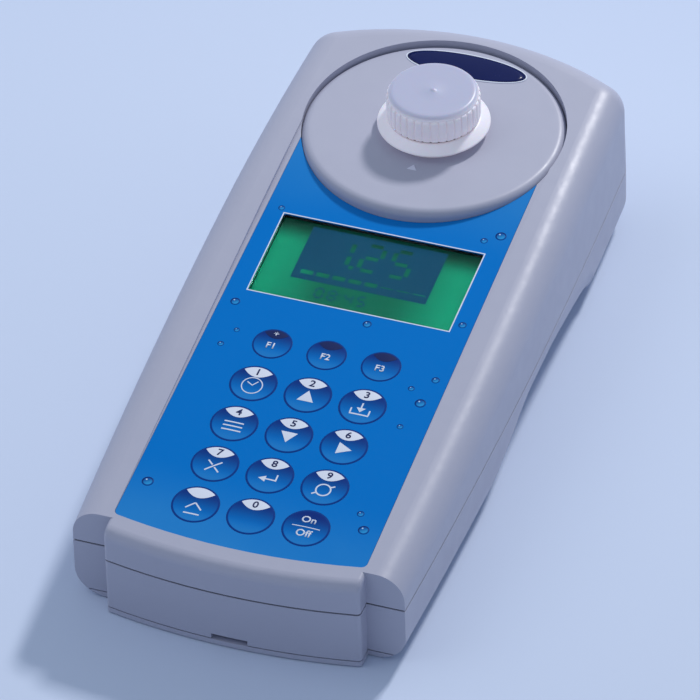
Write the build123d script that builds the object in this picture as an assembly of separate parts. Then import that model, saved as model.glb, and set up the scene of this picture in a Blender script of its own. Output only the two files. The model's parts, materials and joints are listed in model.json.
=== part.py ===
from build123d import *
import os
from math import atan2, cos, degrees, radians, sin, sqrt, tan

# Handheld bench colorimeter, millimetres.
# Origin at the bottom centre of the housing, +Y towards the sample chamber, +X to the right, +Z up.

# Housing, outside
housing_length = 211.0
housing_width = 95.0
widest_y = -9.7
front_width = 91.4
rear_width = 90.2
block_width = 70.4
wing_setback = 8.4
block_bulge = 3.4
rear_bow_radius = 88.0
rear_corner_radius = 8.6
parting_height = 17.9
parting_gap = 0.5
side_draft = 1.0
side_rounding = 7.6
block_rounding = 3.2
block_corner = 1.2
block_overlap = 12.0
base_rounding = 8.3
wall = 2.5
rear_roof_drop = 1.6

# Grip waist under the sides
waist_front = -33.0
waist_full_front = 5.5
waist_full_rear = 22.5
waist_rear = 56.5
waist_rounding = 17.4
waist_overcut = 5.0

# Sloping panel and the rim line above it
panel_front_height = 28.48
deck_stand = 3.52
rim_proud = 0.15
rim_extra_rise = 1.09
rim_bend_length = 78.0
rim_level_length = 8.0
panel_border = 6.9
panel_front_width = 69.2
panel_rear_width = 67.0
pocket_rear_width = 70.2
panel_length_share = 1.1662
panel_bulge = 3.3
panel_corner = 1.6
foil_thickness = 0.5
foil_gap = 0.1

# Keys
column_pitch = 15.2
row_share = 0.12372
first_row_share = 0.07217
key_fill = 0.424
function_key_fill = 0.3553
key_gap = 0.06
key_crown = 0.35
key_skirt = 1.6
key_stem_radius = 2.2
key_travel = 0.4
dome_clearance = 0.06
dome_radius = 4.0
dome_height = 0.6

# Display
window_width = 56.3
window_height_share = 0.24166
window_share = 0.26393
window_thickness = 1.0
window_corner = 0.8
bezel_wall = 1.5
bezel_depth = 2.2
lcd_thickness = 1.8
bezel_fit = 0.2
window_fit = 0.1

# Main board, carried under the panel
board_depth = 6.6
board_thickness = 1.6
board_width = 64.0
board_margin = 5.0
boss_radius = 2.8
board_screw_radius = 1.0
board_screw_head = 2.1
board_screw_head_height = 1.4
board_screw_length = 4.4
boss_reach = 28.6
front_boss_back = 2.0
middle_boss_back = 2.4
rear_boss_ahead = 5.6
board_rear_edge = 0.4

# Sample deck and chamber
deck_setback = 44.2
deck_radius = 35.85
deck_top_height = 44.0
deck_thickness = 5.6
deck_skin = 2.4
deck_edge = 1.3
deck_gap = 0.12
badge_distance = 27.4
badge_half_length = 17.0
badge_half_width = 4.9
badge_depth = 0.5
badge_gap = 0.05
mark_distance = 17.6
mark_size = 2.4
mark_height = 0.25
mark_taper = 30.0
deck_rib_count = 6

# Vial, shield ring and screw cap
vial_radius = 12.0
vial_seat_height = 7.2
glass_wall = 1.2
neck_radius = 9.6
neck_height = 6.6
shoulder = 2.0
glass_foot = 1.0
shoulder_wall = 0.6
neck_wall = 0.4
cap_radius = 12.83
cap_height = 8.5
cap_skin = 1.5
cap_rib_count = 36
cap_rib_depth = 0.28
cap_rib_root = 1.0
cap_rib_share = 0.72
cap_rib_top_gap = 0.3
cap_edge_height = 1.386
cap_edge_radius = 1.41
nub_radius = 0.7
nub_height = 0.25
liner_gap = 0.1
liner_thickness = 0.8
thread_gap = 0.5
cap_stand = 13.5
ring_radius = 15.35
ring_edge = 0.6
ring_lift = 2.2
ring_collar_radius = 14.8
ring_cap_gap = 0.5
ring_gap = 0.05

# Light chamber under the deck
chamber_gap = 0.3
chamber_wall = 1.6
chamber_block = 34.0
chamber_fit = 0.25
chamber_rim_drop = 0.6
chamber_roof_gap = 0.3
beam_share = 0.22659
first_beam_share = 0.2719
beam_fill = 0.26667
led_fill = 0.33333
led_length = 4.0
filter_fill = 0.48
filter_thickness = 1.4
sensor_fill = 0.4
sensor_thickness = 1.4
optics_board = 30.0
optics_board_margin = 4.05
optics_board_thickness = 1.6

# Battery bay and its cover
cover_thickness = 1.5
cover_gap = 0.35
cover_length = 87.0
bay_floor = 4.0
cell_radius = 7.25
cell_length = 50.5
cell_pitch = 15.2
bay_wall = 1.6
bay_clearance = 0.35
cell_gap = 0.3
bay_setback = 16.5
contact_space = 3.0
contact_thickness = 0.4
contact_width = 11.0
contact_height = 10.0
contact_stud_radius = 1.8
contact_touch = 0.2
spring_wide = 3.6
spring_narrow = 2.4
spring_wall = 0.4
cell_nub_radius = 2.6
cell_nub_height = 1.0
cover_rim = 1.4
seal_squeeze = 0.05
seal_side_gap = 0.1
seal_reach = 0.6
housing_seal_inset = 0.35
housing_seal_width = 1.4
seal_width = 1.6
seal_height = 1.3
notch_width = 10.0
notch_height = 1.5
notch_depth = 1.6

# Fasteners and feet
pillar_radius = 4.0
insert_radius = 2.1
insert_length = 6.0
screw_radius = 1.5
screw_gap = 0.05
screw_head_radius = 2.7
screw_head_height = 1.9
screw_head_depth = 2.1
head_gap = 0.2
insert_gap = 0.2
recess_share = 1.1
recess_width = 0.5
recess_depth = 0.7
pillar_reach = 38.5
front_pillar_inset = 17.0
rear_pillar_inset = 19.0
cover_screw_reach = 28.0
cover_screw_front = 8.6
cover_screw_rear = 6.0
pillar_cap = 2.0
cover_screw_radius = 1.25
cover_screw_head = 2.4
cover_screw_head_height = 1.6
cover_screw_length = 7.5
cover_boss_radius = 3.8
cover_boss_height = 3.2
foot_radius = 5.0
foot_thickness = 1.1
foot_proud = 0.4
foot_gap = 0.1
front_foot_reach = 29.0
front_foot_inset = 8.0
rear_foot_reach = 26.0
rear_foot_inset = 16.0

# Small electronics
beeper_radius = 6.0
beeper_height = 3.2
beeper_port_radius = 1.2
beeper_port_depth = 1.0
chip_height = 1.4
chip_sizes = ((12.0, 12.0, 6.0), (8.0, 6.0, 20.0), (5.0, 6.0, -9.0))
chip_row_back = 4.0
cable_width = 12.0
cable_thickness = 0.4
cable_bend = 1.5
cable_drop = 4.8
cable_lift = 1.2

# Places worked out from the sizes
base = foot_proud
front_y = -housing_length / 2
rear_y = housing_length / 2
block_y = front_y + block_bulge
wing_y = front_y + wing_setback
parting = base + parting_height
deck_y = rear_y - deck_setback
deck_top = base + deck_top_height
deck_floor = deck_top - deck_thickness
panel_front_y = block_y + panel_border
panel_run = deck_y - deck_radius - panel_front_y
panel_rise = deck_top_height - panel_front_height - deck_stand
tilt = atan2(panel_rise, panel_run)
rim_slope = atan2(panel_rise + rim_extra_rise, panel_run)
panel_origin = base + panel_front_height - panel_front_y * tan(tilt)
panel = Plane(origin=(0, 0, panel_origin), x_dir=(1, 0, 0), z_dir=(0, -sin(tilt), cos(tilt)))
panel_front = panel_front_y / cos(tilt)
slope_run = panel_run / cos(tilt)
panel_length = panel_length_share * slope_run
row_pitch = row_share * slope_run
key_radius = key_fill * min(row_pitch, column_pitch)
function_key_radius = function_key_fill * min(row_pitch, column_pitch)
first_row = panel_front + first_row_share * slope_run
function_row = first_row + 4 * row_pitch
window_centre = function_row + window_share * slope_run
window_height = window_height_share * slope_run
cap_top = deck_top + cap_stand
vial_top = cap_top - cap_skin - liner_thickness
vial_base = base + vial_seat_height
chamber_bore = vial_radius + chamber_gap
chamber_radius = chamber_bore + chamber_wall
chamber_floor = base + wall
chamber_block_height = deck_floor - wall - chamber_roof_gap - chamber_floor
beam_pitch = beam_share * chamber_block_height
beam_radius = beam_fill * beam_pitch
led_radius = led_fill * beam_pitch
filter_radius = filter_fill * beam_pitch
sensor_radius = sensor_fill * beam_pitch
beam_heights = [chamber_floor + first_beam_share * chamber_block_height + k * beam_pitch for k in range(3)]
cover_rear = front_y + cover_length
bay_front = front_y + bay_setback
bay_rear = bay_front + cell_length + 2 * contact_space
bay_half = 1.5 * cell_pitch + cell_radius + bay_clearance
cell_bottom = base + cover_thickness + cell_gap
bay_roof = cell_bottom + 2 * cell_radius + bay_clearance
foot_top = base - foot_proud + foot_thickness
high = 80.0
overcut = 10.0

key_rows = [
    ("shift", "0", "on_off"),
    ("7", "8", "9"),
    ("4", "5", "6"),
    ("1", "2", "3"),
    ("f1", "f2", "f3"),
]
board_bosses = [
    (side * boss_reach, place)
    for place in (
        first_row - front_boss_back,
        function_row - middle_boss_back,
        window_centre + window_height / 2 + rear_boss_ahead,
    )
    for side in (-1, 1)
]
housing_screw_places = [
    (side * pillar_reach, y)
    for y in (wing_y + front_pillar_inset, rear_y - rear_pillar_inset)
    for side in (-1, 1)
]
cover_screw_places = [(side * cover_screw_reach, front_y + cover_screw_front) for side in (-1, 1)]
cover_screw_places += [(side * cover_screw_reach, cover_rear - cover_screw_rear) for side in (-1, 0, 1)]
foot_places = [(side * front_foot_reach, wing_y + front_foot_inset) for side in (-1, 1)]
foot_places += [(side * rear_foot_reach, rear_y - rear_foot_inset) for side in (-1, 1)]


def rim_profile():
    """Everything under the housing's top line, seen from the side, across the whole width."""
    front_height = base + panel_front_height + rim_proud

    def rim_height(y):
        return front_height + (y - panel_front_y) * tan(rim_slope)

    ahead, behind, below = front_y - overcut, rear_y + overcut, base - overcut
    bend_start = rear_y - rim_level_length - rim_bend_length
    bend = (bend_start, rim_height(bend_start))
    radius = rim_bend_length / sin(rim_slope)
    arc = JernArc(bend, (cos(rim_slope), sin(rim_slope)), radius, -degrees(rim_slope))
    level = (arc @ 1).Y
    outline = [
        Line((ahead, rim_height(ahead)), bend),
        arc,
        Line(arc @ 1, (behind, level)),
        Line((behind, level), (behind, below)),
        Line((behind, below), (ahead, below)),
        Line((ahead, below), (ahead, rim_height(ahead))),
    ]
    return extrude(Plane.YZ * make_face(outline), housing_width, both=True)


def plan(inset=0.0):
    """Outline of wings, bowed sides and rear seen from above, drawn inset by a wall or a gap."""
    side = side_line(inset)
    other = mirror(side, Plane.YZ)
    edges = [side, other, ThreePointArc(side @ 1, (0, rear_y - inset), other @ 1), Line(other @ 0, side @ 0)]
    face = make_face(edges)
    rear_corners = face.vertices().sort_by(Axis.Y)[-2:]
    return fillet(rear_corners, rear_corner_radius - inset)


def block_plan(inset=0.0):
    """Outline of the front block between the wings, with its bowed front."""
    half = block_width / 2 - inset
    front = block_y + inset
    back = wing_y + block_overlap
    edges = [
        Line((half, back), (half, front)),
        ThreePointArc((half, front), (0, front_y + inset), (-half, front)),
        Line((-half, front), (-half, back)),
        Line((-half, back), (half, back)),
    ]
    return make_face(edges)


def edges_between(solid, first, second):
    """Edges that a face of the first kind shares with a face of the second kind."""
    found = []
    others = [edge for face in solid.faces() if second(face) for edge in face.edges()]
    for face in solid.faces():
        if first(face):
            found += [edge for edge in face.edges() if any(edge.is_same(other) for other in others)]
    return ShapeList(found)


def faces_up(face):
    return face.normal_at().Z > 0.9


def faces_down(face):
    return face.normal_at().Z < -0.9


def is_side(face):
    normal = face.normal_at()
    return abs(normal.Z) < 0.3 and not (normal.Y < -0.9)


def faces_front(face):
    return face.normal_at().Y < -0.7


def faces_across(face):
    return abs(face.normal_at().X) > 0.9


def soften_block(block, keep_height):
    """Round the block's upright corners and top side edges, all but those at one height."""
    corners = [edge for edge in edges_between(block, faces_across, lambda face: not faces_across(face))]
    back = wing_y + block_overlap - 0.1
    seen = [edge for edge in corners if abs(edge.center().Z - keep_height) > 0.1 and edge.center().Y < back]
    return fillet(ShapeList(seen), block_corner)


def upper_form(inset=0.0):
    """Closed outer form of the upper shell: rounded body and front block under the rim line."""
    bottom = parting + parting_gap / 2
    rim = rim_profile()
    body = extrude(Pos(0, 0, bottom) * plan(inset), high, taper=side_draft) & rim
    body = fillet(edges_between(body, faces_up, is_side), side_rounding - inset)
    block = extrude(Pos(0, 0, bottom) * block_plan(inset), high) & rim
    block = fillet(edges_between(block, faces_up, faces_front), block_rounding)
    return body + soften_block(block, bottom)


def ease(share):
    """Smooth step from 0 to 1."""
    return share * share * (3 - 2 * share)


def waist_cutter(side, inset=0.0):
    """Spandrel under one side that turns the bottom rounding into a finger grip along the waist."""
    front = [(waist_front + t / 8 * (waist_full_front - waist_front), ease(t / 8)) for t in range(9)]
    left = [1 - t / 8 for t in range(9)]
    rear = [(waist_rear - t**2 * (waist_rear - waist_full_rear), t) for t in left]
    sections = []
    for y, share in front + rear:
        across = half_width_at(y) - inset
        radius = base_rounding + share * (waist_rounding - base_rounding) - inset
        low = base + inset
        centre = (across - radius, low + radius)
        diagonal = radius * sqrt(0.5)
        beyond, under = across + waist_overcut, low - waist_overcut
        arc = ThreePointArc((centre[0], low), (centre[0] + diagonal, centre[1] - diagonal), (across, centre[1]))
        edges = [
            arc,
            Line((across, centre[1]), (beyond, centre[1])),
            Line((beyond, centre[1]), (beyond, under)),
            Line((beyond, under), (centre[0], under)),
            Line((centre[0], under), (centre[0], low)),
        ]
        section = Plane(origin=(0, y, 0), x_dir=(1, 0, 0), z_dir=(0, -1, 0)) * make_face(edges)
        sections.append(section)
    cutter = loft(sections, ruled=True)
    return cutter if side > 0 else mirror(cutter, Plane.YZ)


def side_line(inset=0.0):
    """Bowed side line seen from above, from the wing face to the rear corner."""
    front = (front_width / 2 - inset, wing_y + inset)
    return ThreePointArc(front, (housing_width / 2 - inset, widest_y), (rear_width / 2 - inset, corner_y(inset)))


def corner_y(inset=0.0):
    """Where the bowed side would meet the bowed rear."""
    bow = rear_bow_radius - inset
    return rear_y - inset - (bow - sqrt(bow**2 - (rear_width / 2 - inset) ** 2))


def half_width_at(y):
    """Half the housing's width on the bowed side line."""
    arc = side_line()
    return arc.arc_center.X + sqrt(arc.radius**2 - (y - arc.arc_center.Y) ** 2)


def lower_form(inset=0.0):
    """Closed outer form of the lower shell and the cover under it, down to the base."""
    top = parting - parting_gap / 2
    depth = top - base - inset
    body = extrude(Pos(0, 0, top) * plan(inset), -depth)
    body = fillet(edges_between(body, faces_down, is_side), base_rounding - inset)
    for side in (-1, 1):
        body = body - waist_cutter(side, inset)
    block = extrude(Pos(0, 0, top) * block_plan(inset), -depth)
    uprights = block.edges().filter_by(Axis.Z).sort_by(Axis.Y)[:2]
    return body + fillet(uprights, block_corner)


def on_panel(x, along, depth=0.0):
    """Location on the sloping panel, across and along it, and a depth under its face."""
    return panel * Pos(x, along, -depth)


def panel_outline(grow=0.0, rear_width=panel_rear_width):
    """Panel outline in its own plane, from its bowed front edge back to a straight rear line."""
    rear = deck_y / cos(tilt)
    taper = (panel_front_width - rear_width) / 2 / panel_length
    half = panel_front_width / 2 + grow
    half_rear = half - taper * (rear - panel_front)
    front = panel_front - grow
    edges = [
        Line((half_rear, rear), (half, front)),
        ThreePointArc((half, front), (0, front - panel_bulge), (-half, front)),
        Line((-half, front), (-half_rear, rear)),
        Line((-half_rear, rear), (half_rear, rear)),
    ]
    face = make_face(edges)
    return fillet(face.vertices().sort_by(Axis.Y)[:2], panel_corner + grow)


def key_places():
    """Name, place across and along the panel, and radius of every key."""
    places = []
    for row, names in enumerate(key_rows):
        radius = function_key_radius if names[0].startswith("f") else key_radius
        for column, name in enumerate(names):
            places.append((name, (column - 1) * column_pitch, first_row + row * row_pitch, radius))
    return places


def upright(radius, bottom, top, x=0.0, y=0.0):
    """Upright cylinder between two heights."""
    return Pos(x, y, (bottom + top) / 2) * Cylinder(radius, top - bottom)


def upper_cavity():
    """Hollow of the upper shell, under the panel wall, the deck floor and the rear top."""
    bottom = parting - 1
    depth = foil_thickness + wall
    flat = deck_top - wall - rear_roof_drop
    ahead, behind = front_y - overcut, rear_y + overcut
    meet = (flat + depth / cos(tilt) - panel_origin) / tan(tilt)
    points = [
        (ahead, panel_origin + ahead * tan(tilt) - depth / cos(tilt)),
        (meet, flat),
        (behind, flat),
        (behind, bottom - overcut),
        (ahead, bottom - overcut),
    ]
    under = extrude(Plane.YZ * make_face(Polyline(*points, close=True)), housing_width, both=True)
    body = extrude(Pos(0, 0, bottom) * plan(wall), high, taper=side_draft) & under
    body = fillet(edges_between(body, faces_up, is_side), side_rounding - wall)
    hollow = body + (extrude(Pos(0, 0, bottom) * block_plan(wall), high) & under)
    return hollow - upright(deck_radius + deck_gap + wall, deck_floor - wall, high, 0, deck_y)


def make_upper_shell():
    outer = upper_form()
    shell = outer - upper_cavity()
    for x, y in housing_screw_places:
        boss = outer & upright(pillar_radius, parting + parting_gap / 2, high, x, y)
        shell = shell + boss
    for x, along in board_bosses:
        shell = shell + on_panel(x, along, (board_depth + foil_thickness) / 2) * Cylinder(
            boss_radius, board_depth - foil_thickness
        )
    recess = extrude(panel * Pos(0, 0, -foil_thickness) * panel_outline(foil_gap), foil_thickness + 1)
    ledge = extrude(panel * panel_outline(foil_gap, pocket_rear_width), 2 * deck_stand)
    shell = shell - recess - ledge
    shell = shell - upright(deck_radius + deck_gap, deck_floor, high, 0, deck_y)
    shell = shell - upright(chamber_radius + chamber_fit, deck_floor - 2 * wall, high, 0, deck_y)
    for name, x, along, radius in key_places():
        shell = shell - on_panel(x, along) * Cylinder(radius + key_gap, 4 * wall)
    opening = Box(bezel_width(), bezel_height(), 4 * wall)
    shell = shell - on_panel(0, window_centre) * opening
    for x, y in housing_screw_places:
        shell = shell - upright(insert_radius, parting - 1, parting + parting_gap / 2 + insert_length, x, y)
    for x, along in board_bosses:
        drill = Cylinder(board_screw_radius, 2 * board_screw_length)
        shell = shell - on_panel(x, along, board_depth) * drill
    return shell


def bezel_width():
    return window_width + 2 * bezel_wall


def bezel_height():
    return window_height + 2 * bezel_wall


def ring_plan(outer_inset, width):
    """Closed band that follows the housing outline, block included."""
    outer = plan(outer_inset) + block_plan(outer_inset)
    inner = plan(outer_inset + width) + block_plan(outer_inset + width)
    return outer - inner


def make_lower_shell():
    outer = lower_form()
    shell = outer - lower_form(wall)
    floor_top = base + bay_floor
    floor_low = base + cover_thickness + cover_gap
    floor = outer & box_between((-housing_width, front_y, base), (housing_width, cover_rear + wall, floor_top))
    shell = shell + floor
    shell = shell + battery_bay()
    for x, y in housing_screw_places:
        shell = shell + (outer & upright(pillar_radius, base, parting - parting_gap / 2, x, y))
    for x, y in cover_screw_places:
        pillar = upright(pillar_radius, base, floor_low + cover_screw_length + pillar_cap, x, y)
        shell = shell + (outer & pillar)
    cover_space = box_between((-housing_width, front_y - 1, base - 1), (housing_width, cover_rear, floor_low))
    shell = shell - cover_space
    bay = box_between((-bay_half, bay_front, base - 1), (bay_half, bay_rear, bay_roof))
    shell = shell - bay
    shell = shell - seal_groove()
    notch = box_between(
        (-notch_width / 2, front_y - 1, base), (notch_width / 2, front_y + notch_depth, floor_low + notch_height)
    )
    shell = shell - notch
    for x, y in housing_screw_places:
        seat = floor_low if y < cover_rear else base
        shell = shell - upright(screw_radius + head_gap, base - 1, parting + 1, x, y)
        shell = shell - upright(screw_head_radius + head_gap, base - 1, seat + screw_head_depth, x, y)
    for x, y in cover_screw_places:
        shell = shell - upright(insert_radius, base, floor_low + cover_screw_length, x, y)
        shell = shell - upright(cover_boss_radius + head_gap, base, base + cover_boss_height + head_gap, x, y)
    for x, y in foot_places[2:]:
        shell = shell - upright(foot_radius, base - 1, foot_top, x, y)
    return shell


def box_between(low, high_corner):
    """Box between two opposite corners."""
    size = [b - a for a, b in zip(low, high_corner)]
    centre = [(a + b) / 2 for a, b in zip(low, high_corner)]
    return Pos(*centre) * Box(*size)


def battery_bay():
    """Open-bottomed box that holds the cells, standing on the lower shell's floor."""
    low = base + cover_thickness + cover_gap
    corner = (-bay_half - bay_wall, bay_front - bay_wall, low)
    far = (bay_half + bay_wall, bay_rear + bay_wall, bay_roof + bay_wall)
    return box_between(corner, far)


def seal_loop(width, height, low):
    """Flat band around the mouth of the battery bay."""
    reach = bay_wall + seal_reach
    inner = Rectangle(2 * (bay_half + reach), bay_rear - bay_front + 2 * reach)
    outer = offset(inner, width)
    centre = (bay_front + bay_rear) / 2
    return extrude(Pos(0, centre, low) * (outer - inner), height)


def seal_groove():
    return seal_loop(seal_width, seal_height, base + cover_thickness + cover_gap)


def make_battery_cover():
    top = base + cover_thickness
    lower = lower_form()
    plate = lower & box_between((-housing_width, front_y - 1, base), (housing_width, cover_rear - cover_gap, top))
    rim_low = top
    rim_outer = box_between(
        (-bay_half + cover_gap, bay_front + cover_gap, rim_low),
        (bay_half - cover_gap, bay_rear - cover_gap, rim_low + cover_gap + cover_rim),
    )
    rim_inner = box_between(
        (-bay_half + cover_gap + bay_wall, bay_front + cover_gap + bay_wall, rim_low - 0.1),
        (bay_half - cover_gap - bay_wall, bay_rear - cover_gap - bay_wall, high),
    )
    cover = plate + (rim_outer - rim_inner)
    for x, y in cover_screw_places:
        cover = cover + upright(cover_boss_radius, base, base + cover_boss_height, x, y)
        cover = cover - upright(cover_screw_head + head_gap, base - 1, base + cover_screw_head_height, x, y)
        cover = cover - upright(cover_screw_radius + head_gap, base - 1, high, x, y)
    for x, y in foot_places[:2]:
        cover = cover - upright(foot_radius, base - 1, foot_top, x, y)
    return cover


def make_cover_seal():
    return seal_loop(seal_width - seal_side_gap, seal_height + cover_gap - seal_squeeze, base + cover_thickness)


def make_housing_seal():
    """Black gasket in the parting gap, just inside the outer edge."""
    bottom = parting - parting_gap / 2
    return extrude(Pos(0, 0, bottom) * ring_plan(housing_seal_inset, housing_seal_width), parting_gap)


def make_sample_deck():
    deck = upright(deck_radius, deck_floor, deck_top, 0, deck_y)
    deck = fillet(deck.edges().filter_by(GeomType.CIRCLE).sort_by(Axis.Z)[-1], deck_edge)
    under = upright(deck_radius - deck_skin, deck_floor, deck_top - deck_skin, 0, deck_y)
    collar = upright(chamber_radius + chamber_fit + deck_skin, deck_floor, deck_top - deck_skin, 0, deck_y)
    deck = deck - under + collar
    rib = Box(deck_radius - chamber_radius - deck_skin, deck_skin, deck_thickness - deck_skin)
    rib = Pos((chamber_radius + deck_radius) / 2, 0, (deck_floor + deck_top - deck_skin) / 2) * rib
    for turn in range(deck_rib_count):
        deck = deck + Pos(0, deck_y, 0) * Rot(0, 0, (turn + 0.5) * 360 / deck_rib_count) * rib
    deck = deck - upright(chamber_radius + chamber_fit, deck_floor - 1, high, 0, deck_y)
    deck = deck - extrude(badge_place() * badge_oval(badge_gap), 2 * badge_depth)
    corner = mark_size / 2
    mark = make_face(Polyline((-corner, -corner), (corner, -corner), (0, corner), close=True))
    mark_y = deck_y - mark_distance
    return deck + extrude(Pos(0, mark_y, deck_top) * mark, mark_height, taper=mark_taper)


def badge_place():
    return Pos(0, deck_y + badge_distance, deck_top - badge_depth)


def badge_oval(grow=0.0):
    return Ellipse(badge_half_length + grow, badge_half_width + grow)


def make_badge():
    return extrude(badge_place() * badge_oval(), badge_depth)


def make_keypad_foil():
    foil = extrude(panel * Pos(0, 0, -foil_thickness) * panel_outline(0.0), foil_thickness)
    foil = foil - upright(deck_radius + deck_gap, deck_floor - wall, high, 0, deck_y)
    window = RectangleRounded(window_width + window_fit, window_height + window_fit, window_corner)
    foil = foil - extrude(on_panel(0, window_centre, 2) * window, 4)
    for name, x, along, radius in key_places():
        foil = foil - on_panel(x, along) * Cylinder(radius + key_gap, 4)
    return foil


def make_key(radius):
    """Key with a low crown, a skirt and a stem, drawn upright with the panel face at zero."""
    sphere = (radius**2 + key_crown**2) / (2 * key_crown)
    cap = Pos(0, 0, key_crown - sphere) * Sphere(sphere)
    key = Pos(0, 0, (key_crown - key_skirt) / 2) * Cylinder(radius, key_crown + key_skirt) & cap
    stem_end = board_depth - dome_height - key_travel - dome_clearance
    stem = Pos(0, 0, -(key_skirt + stem_end) / 2) * Cylinder(key_stem_radius, stem_end - key_skirt)
    return key + stem


def make_keys():
    return {"key_" + name: on_panel(x, along) * make_key(radius) for name, x, along, radius in key_places()}


def make_display_window():
    plate = RectangleRounded(window_width, window_height, window_corner)
    return extrude(on_panel(0, window_centre, window_thickness) * plate, window_thickness)


def make_lcd_frame():
    """Dark bezel between the window and the main board that holds the display and its light."""
    top = window_thickness
    depth = board_depth - top
    frame = Box(bezel_width() - bezel_fit, bezel_height() - bezel_fit, depth)
    frame = frame - Box(window_width, window_height, depth + 1)
    return on_panel(0, window_centre, top + depth / 2) * frame


def make_lcd_glass():
    slab = Box(window_width - window_fit, window_height - window_fit, lcd_thickness)
    return on_panel(0, window_centre, window_thickness + bezel_depth + lcd_thickness / 2) * slab


def make_backlight():
    top = window_thickness + bezel_depth + lcd_thickness
    slab = Box(window_width - window_fit, window_height - window_fit, board_depth - top)
    return on_panel(0, window_centre, (top + board_depth) / 2) * slab


def make_main_board():
    front = panel_front + board_margin - panel_bulge
    rear = board_bosses[-1][1] + boss_radius + board_rear_edge
    board = Box(board_width, rear - front, board_thickness)
    board = on_panel(0, (front + rear) / 2, board_depth + board_thickness / 2) * board
    for x, along in board_bosses:
        hole = Cylinder(board_screw_radius + 2 * screw_gap, 4 * board_thickness)
        board = board - on_panel(x, along, board_depth + board_thickness / 2) * hole
    return board


def make_key_domes():
    """Snap domes on the main board, one under every key."""
    sphere = (dome_radius**2 + dome_height**2) / (2 * dome_height)
    dome = Pos(0, 0, dome_height - sphere) * Sphere(sphere) & Pos(0, 0, dome_height / 2) * Cylinder(
        dome_radius, dome_height
    )
    return Compound([on_panel(x, along, board_depth) * dome for name, x, along, radius in key_places()])


def make_board_screws():
    head = Pos(0, 0, -board_screw_head_height / 2) * Cylinder(board_screw_head, board_screw_head_height)
    shank_length = board_screw_length + board_thickness
    screw = head + Pos(0, 0, shank_length / 2) * Cylinder(board_screw_radius - screw_gap, shank_length)
    low = board_depth + board_thickness
    return Compound([on_panel(x, along, low) * screw for x, along in board_bosses])


def make_beeper():
    depth = board_depth + board_thickness + beeper_height / 2
    port = Pos(0, 0, -beeper_height / 2) * Cylinder(beeper_port_radius, 2 * beeper_port_depth)
    body = Cylinder(beeper_radius, beeper_height) - port
    return on_panel(-board_width / 2 + 2 * beeper_radius, window_centre, depth) * body


def make_board_chips():
    depth = board_depth + board_thickness + chip_height / 2
    row = window_centre - chip_row_back
    return Compound([on_panel(x, row, depth) * Box(a, b, chip_height) for a, b, x in chip_sizes])


def make_cell_holder():
    """Black chamber that holds the vial, with light channels through its block."""
    middle = chamber_floor + chamber_block_height / 2
    block = Pos(0, deck_y, middle) * Box(chamber_block, chamber_block, chamber_block_height)
    holder = block + upright(chamber_radius, chamber_floor, deck_top - chamber_rim_drop, 0, deck_y)
    holder = holder - upright(chamber_bore, vial_base, high, 0, deck_y)
    for turn, height in beam_places():
        channel = Cylinder(beam_radius, chamber_block + 2, rotation=(0, 90, 0))
        led_pocket = Pos(chamber_block / 2 - led_length / 2, 0, 0) * Cylinder(
            led_radius + screw_gap, led_length, rotation=(0, 90, 0)
        )
        depth = filter_thickness + sensor_thickness
        filter_pocket = Pos(depth / 2 - chamber_block / 2, 0, 0) * Cylinder(
            filter_radius + screw_gap, depth, rotation=(0, 90, 0)
        )
        holder = holder - Pos(0, deck_y, height) * Rot(0, 0, turn) * (channel + led_pocket + filter_pocket)
    return holder


def beam_places():
    """Turn about the chamber's axis and height of each of the light beams."""
    return [(90 * k, height + k * beam_pitch / 2) for k in (0, 1) for height in beam_heights]


def at_beams(solid):
    """Copy of a solid at each beam, drawn on the beam's own X axis."""
    return Compound([Pos(0, deck_y, height) * Rot(0, 0, turn) * solid for turn, height in beam_places()])


def make_leds():
    body = Cylinder(led_radius, led_length, rotation=(0, -90, 0))
    body = fillet(body.edges().sort_by(Axis.X)[0], 0.9 * led_radius)
    return at_beams(Pos((chamber_block - led_length) / 2, 0, 0) * body)


def make_filters():
    start = sensor_thickness - chamber_block / 2
    disc = Pos(start + filter_thickness / 2, 0, 0) * Cylinder(filter_radius, filter_thickness, rotation=(0, 90, 0))
    return at_beams(disc)


def make_sensors():
    start = -chamber_block / 2
    can = Pos(start + sensor_thickness / 2, 0, 0) * Cylinder(sensor_radius, sensor_thickness, rotation=(0, 90, 0))
    return at_beams(can)


def make_optics_boards():
    centre = beam_heights[1] + beam_pitch / 4
    reach = chamber_block / 2 + optics_board_thickness / 2
    tall = chamber_block_height - 2 * optics_board_margin
    plate = Pos(reach, 0, centre) * Box(optics_board_thickness, optics_board, tall)
    return Compound([Pos(0, deck_y, 0) * Rot(0, 0, 90 * k) * plate for k in range(4)])


def make_flat_cable():
    """Flat cable from the rear edge of the main board down to the board in front of the chamber."""
    rear = board_bosses[-1][1] - 3 * boss_radius
    depth = board_depth + board_thickness
    start = on_panel(0, rear, depth).position
    face_y = deck_y - chamber_block / 2 - optics_board_thickness
    low = beam_heights[0]
    t = cable_thickness
    points = [
        (start.Y, start.Z - t),
        (start.Y, start.Z - cable_drop),
        (face_y - cable_drop, low + cable_lift),
        (face_y - t, low + cable_lift),
    ]
    line = FilletPolyline(*points, radius=cable_bend)
    return extrude(Plane.YZ * make_face(offset(line, t / 2)), cable_width / 2, both=True)


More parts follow.
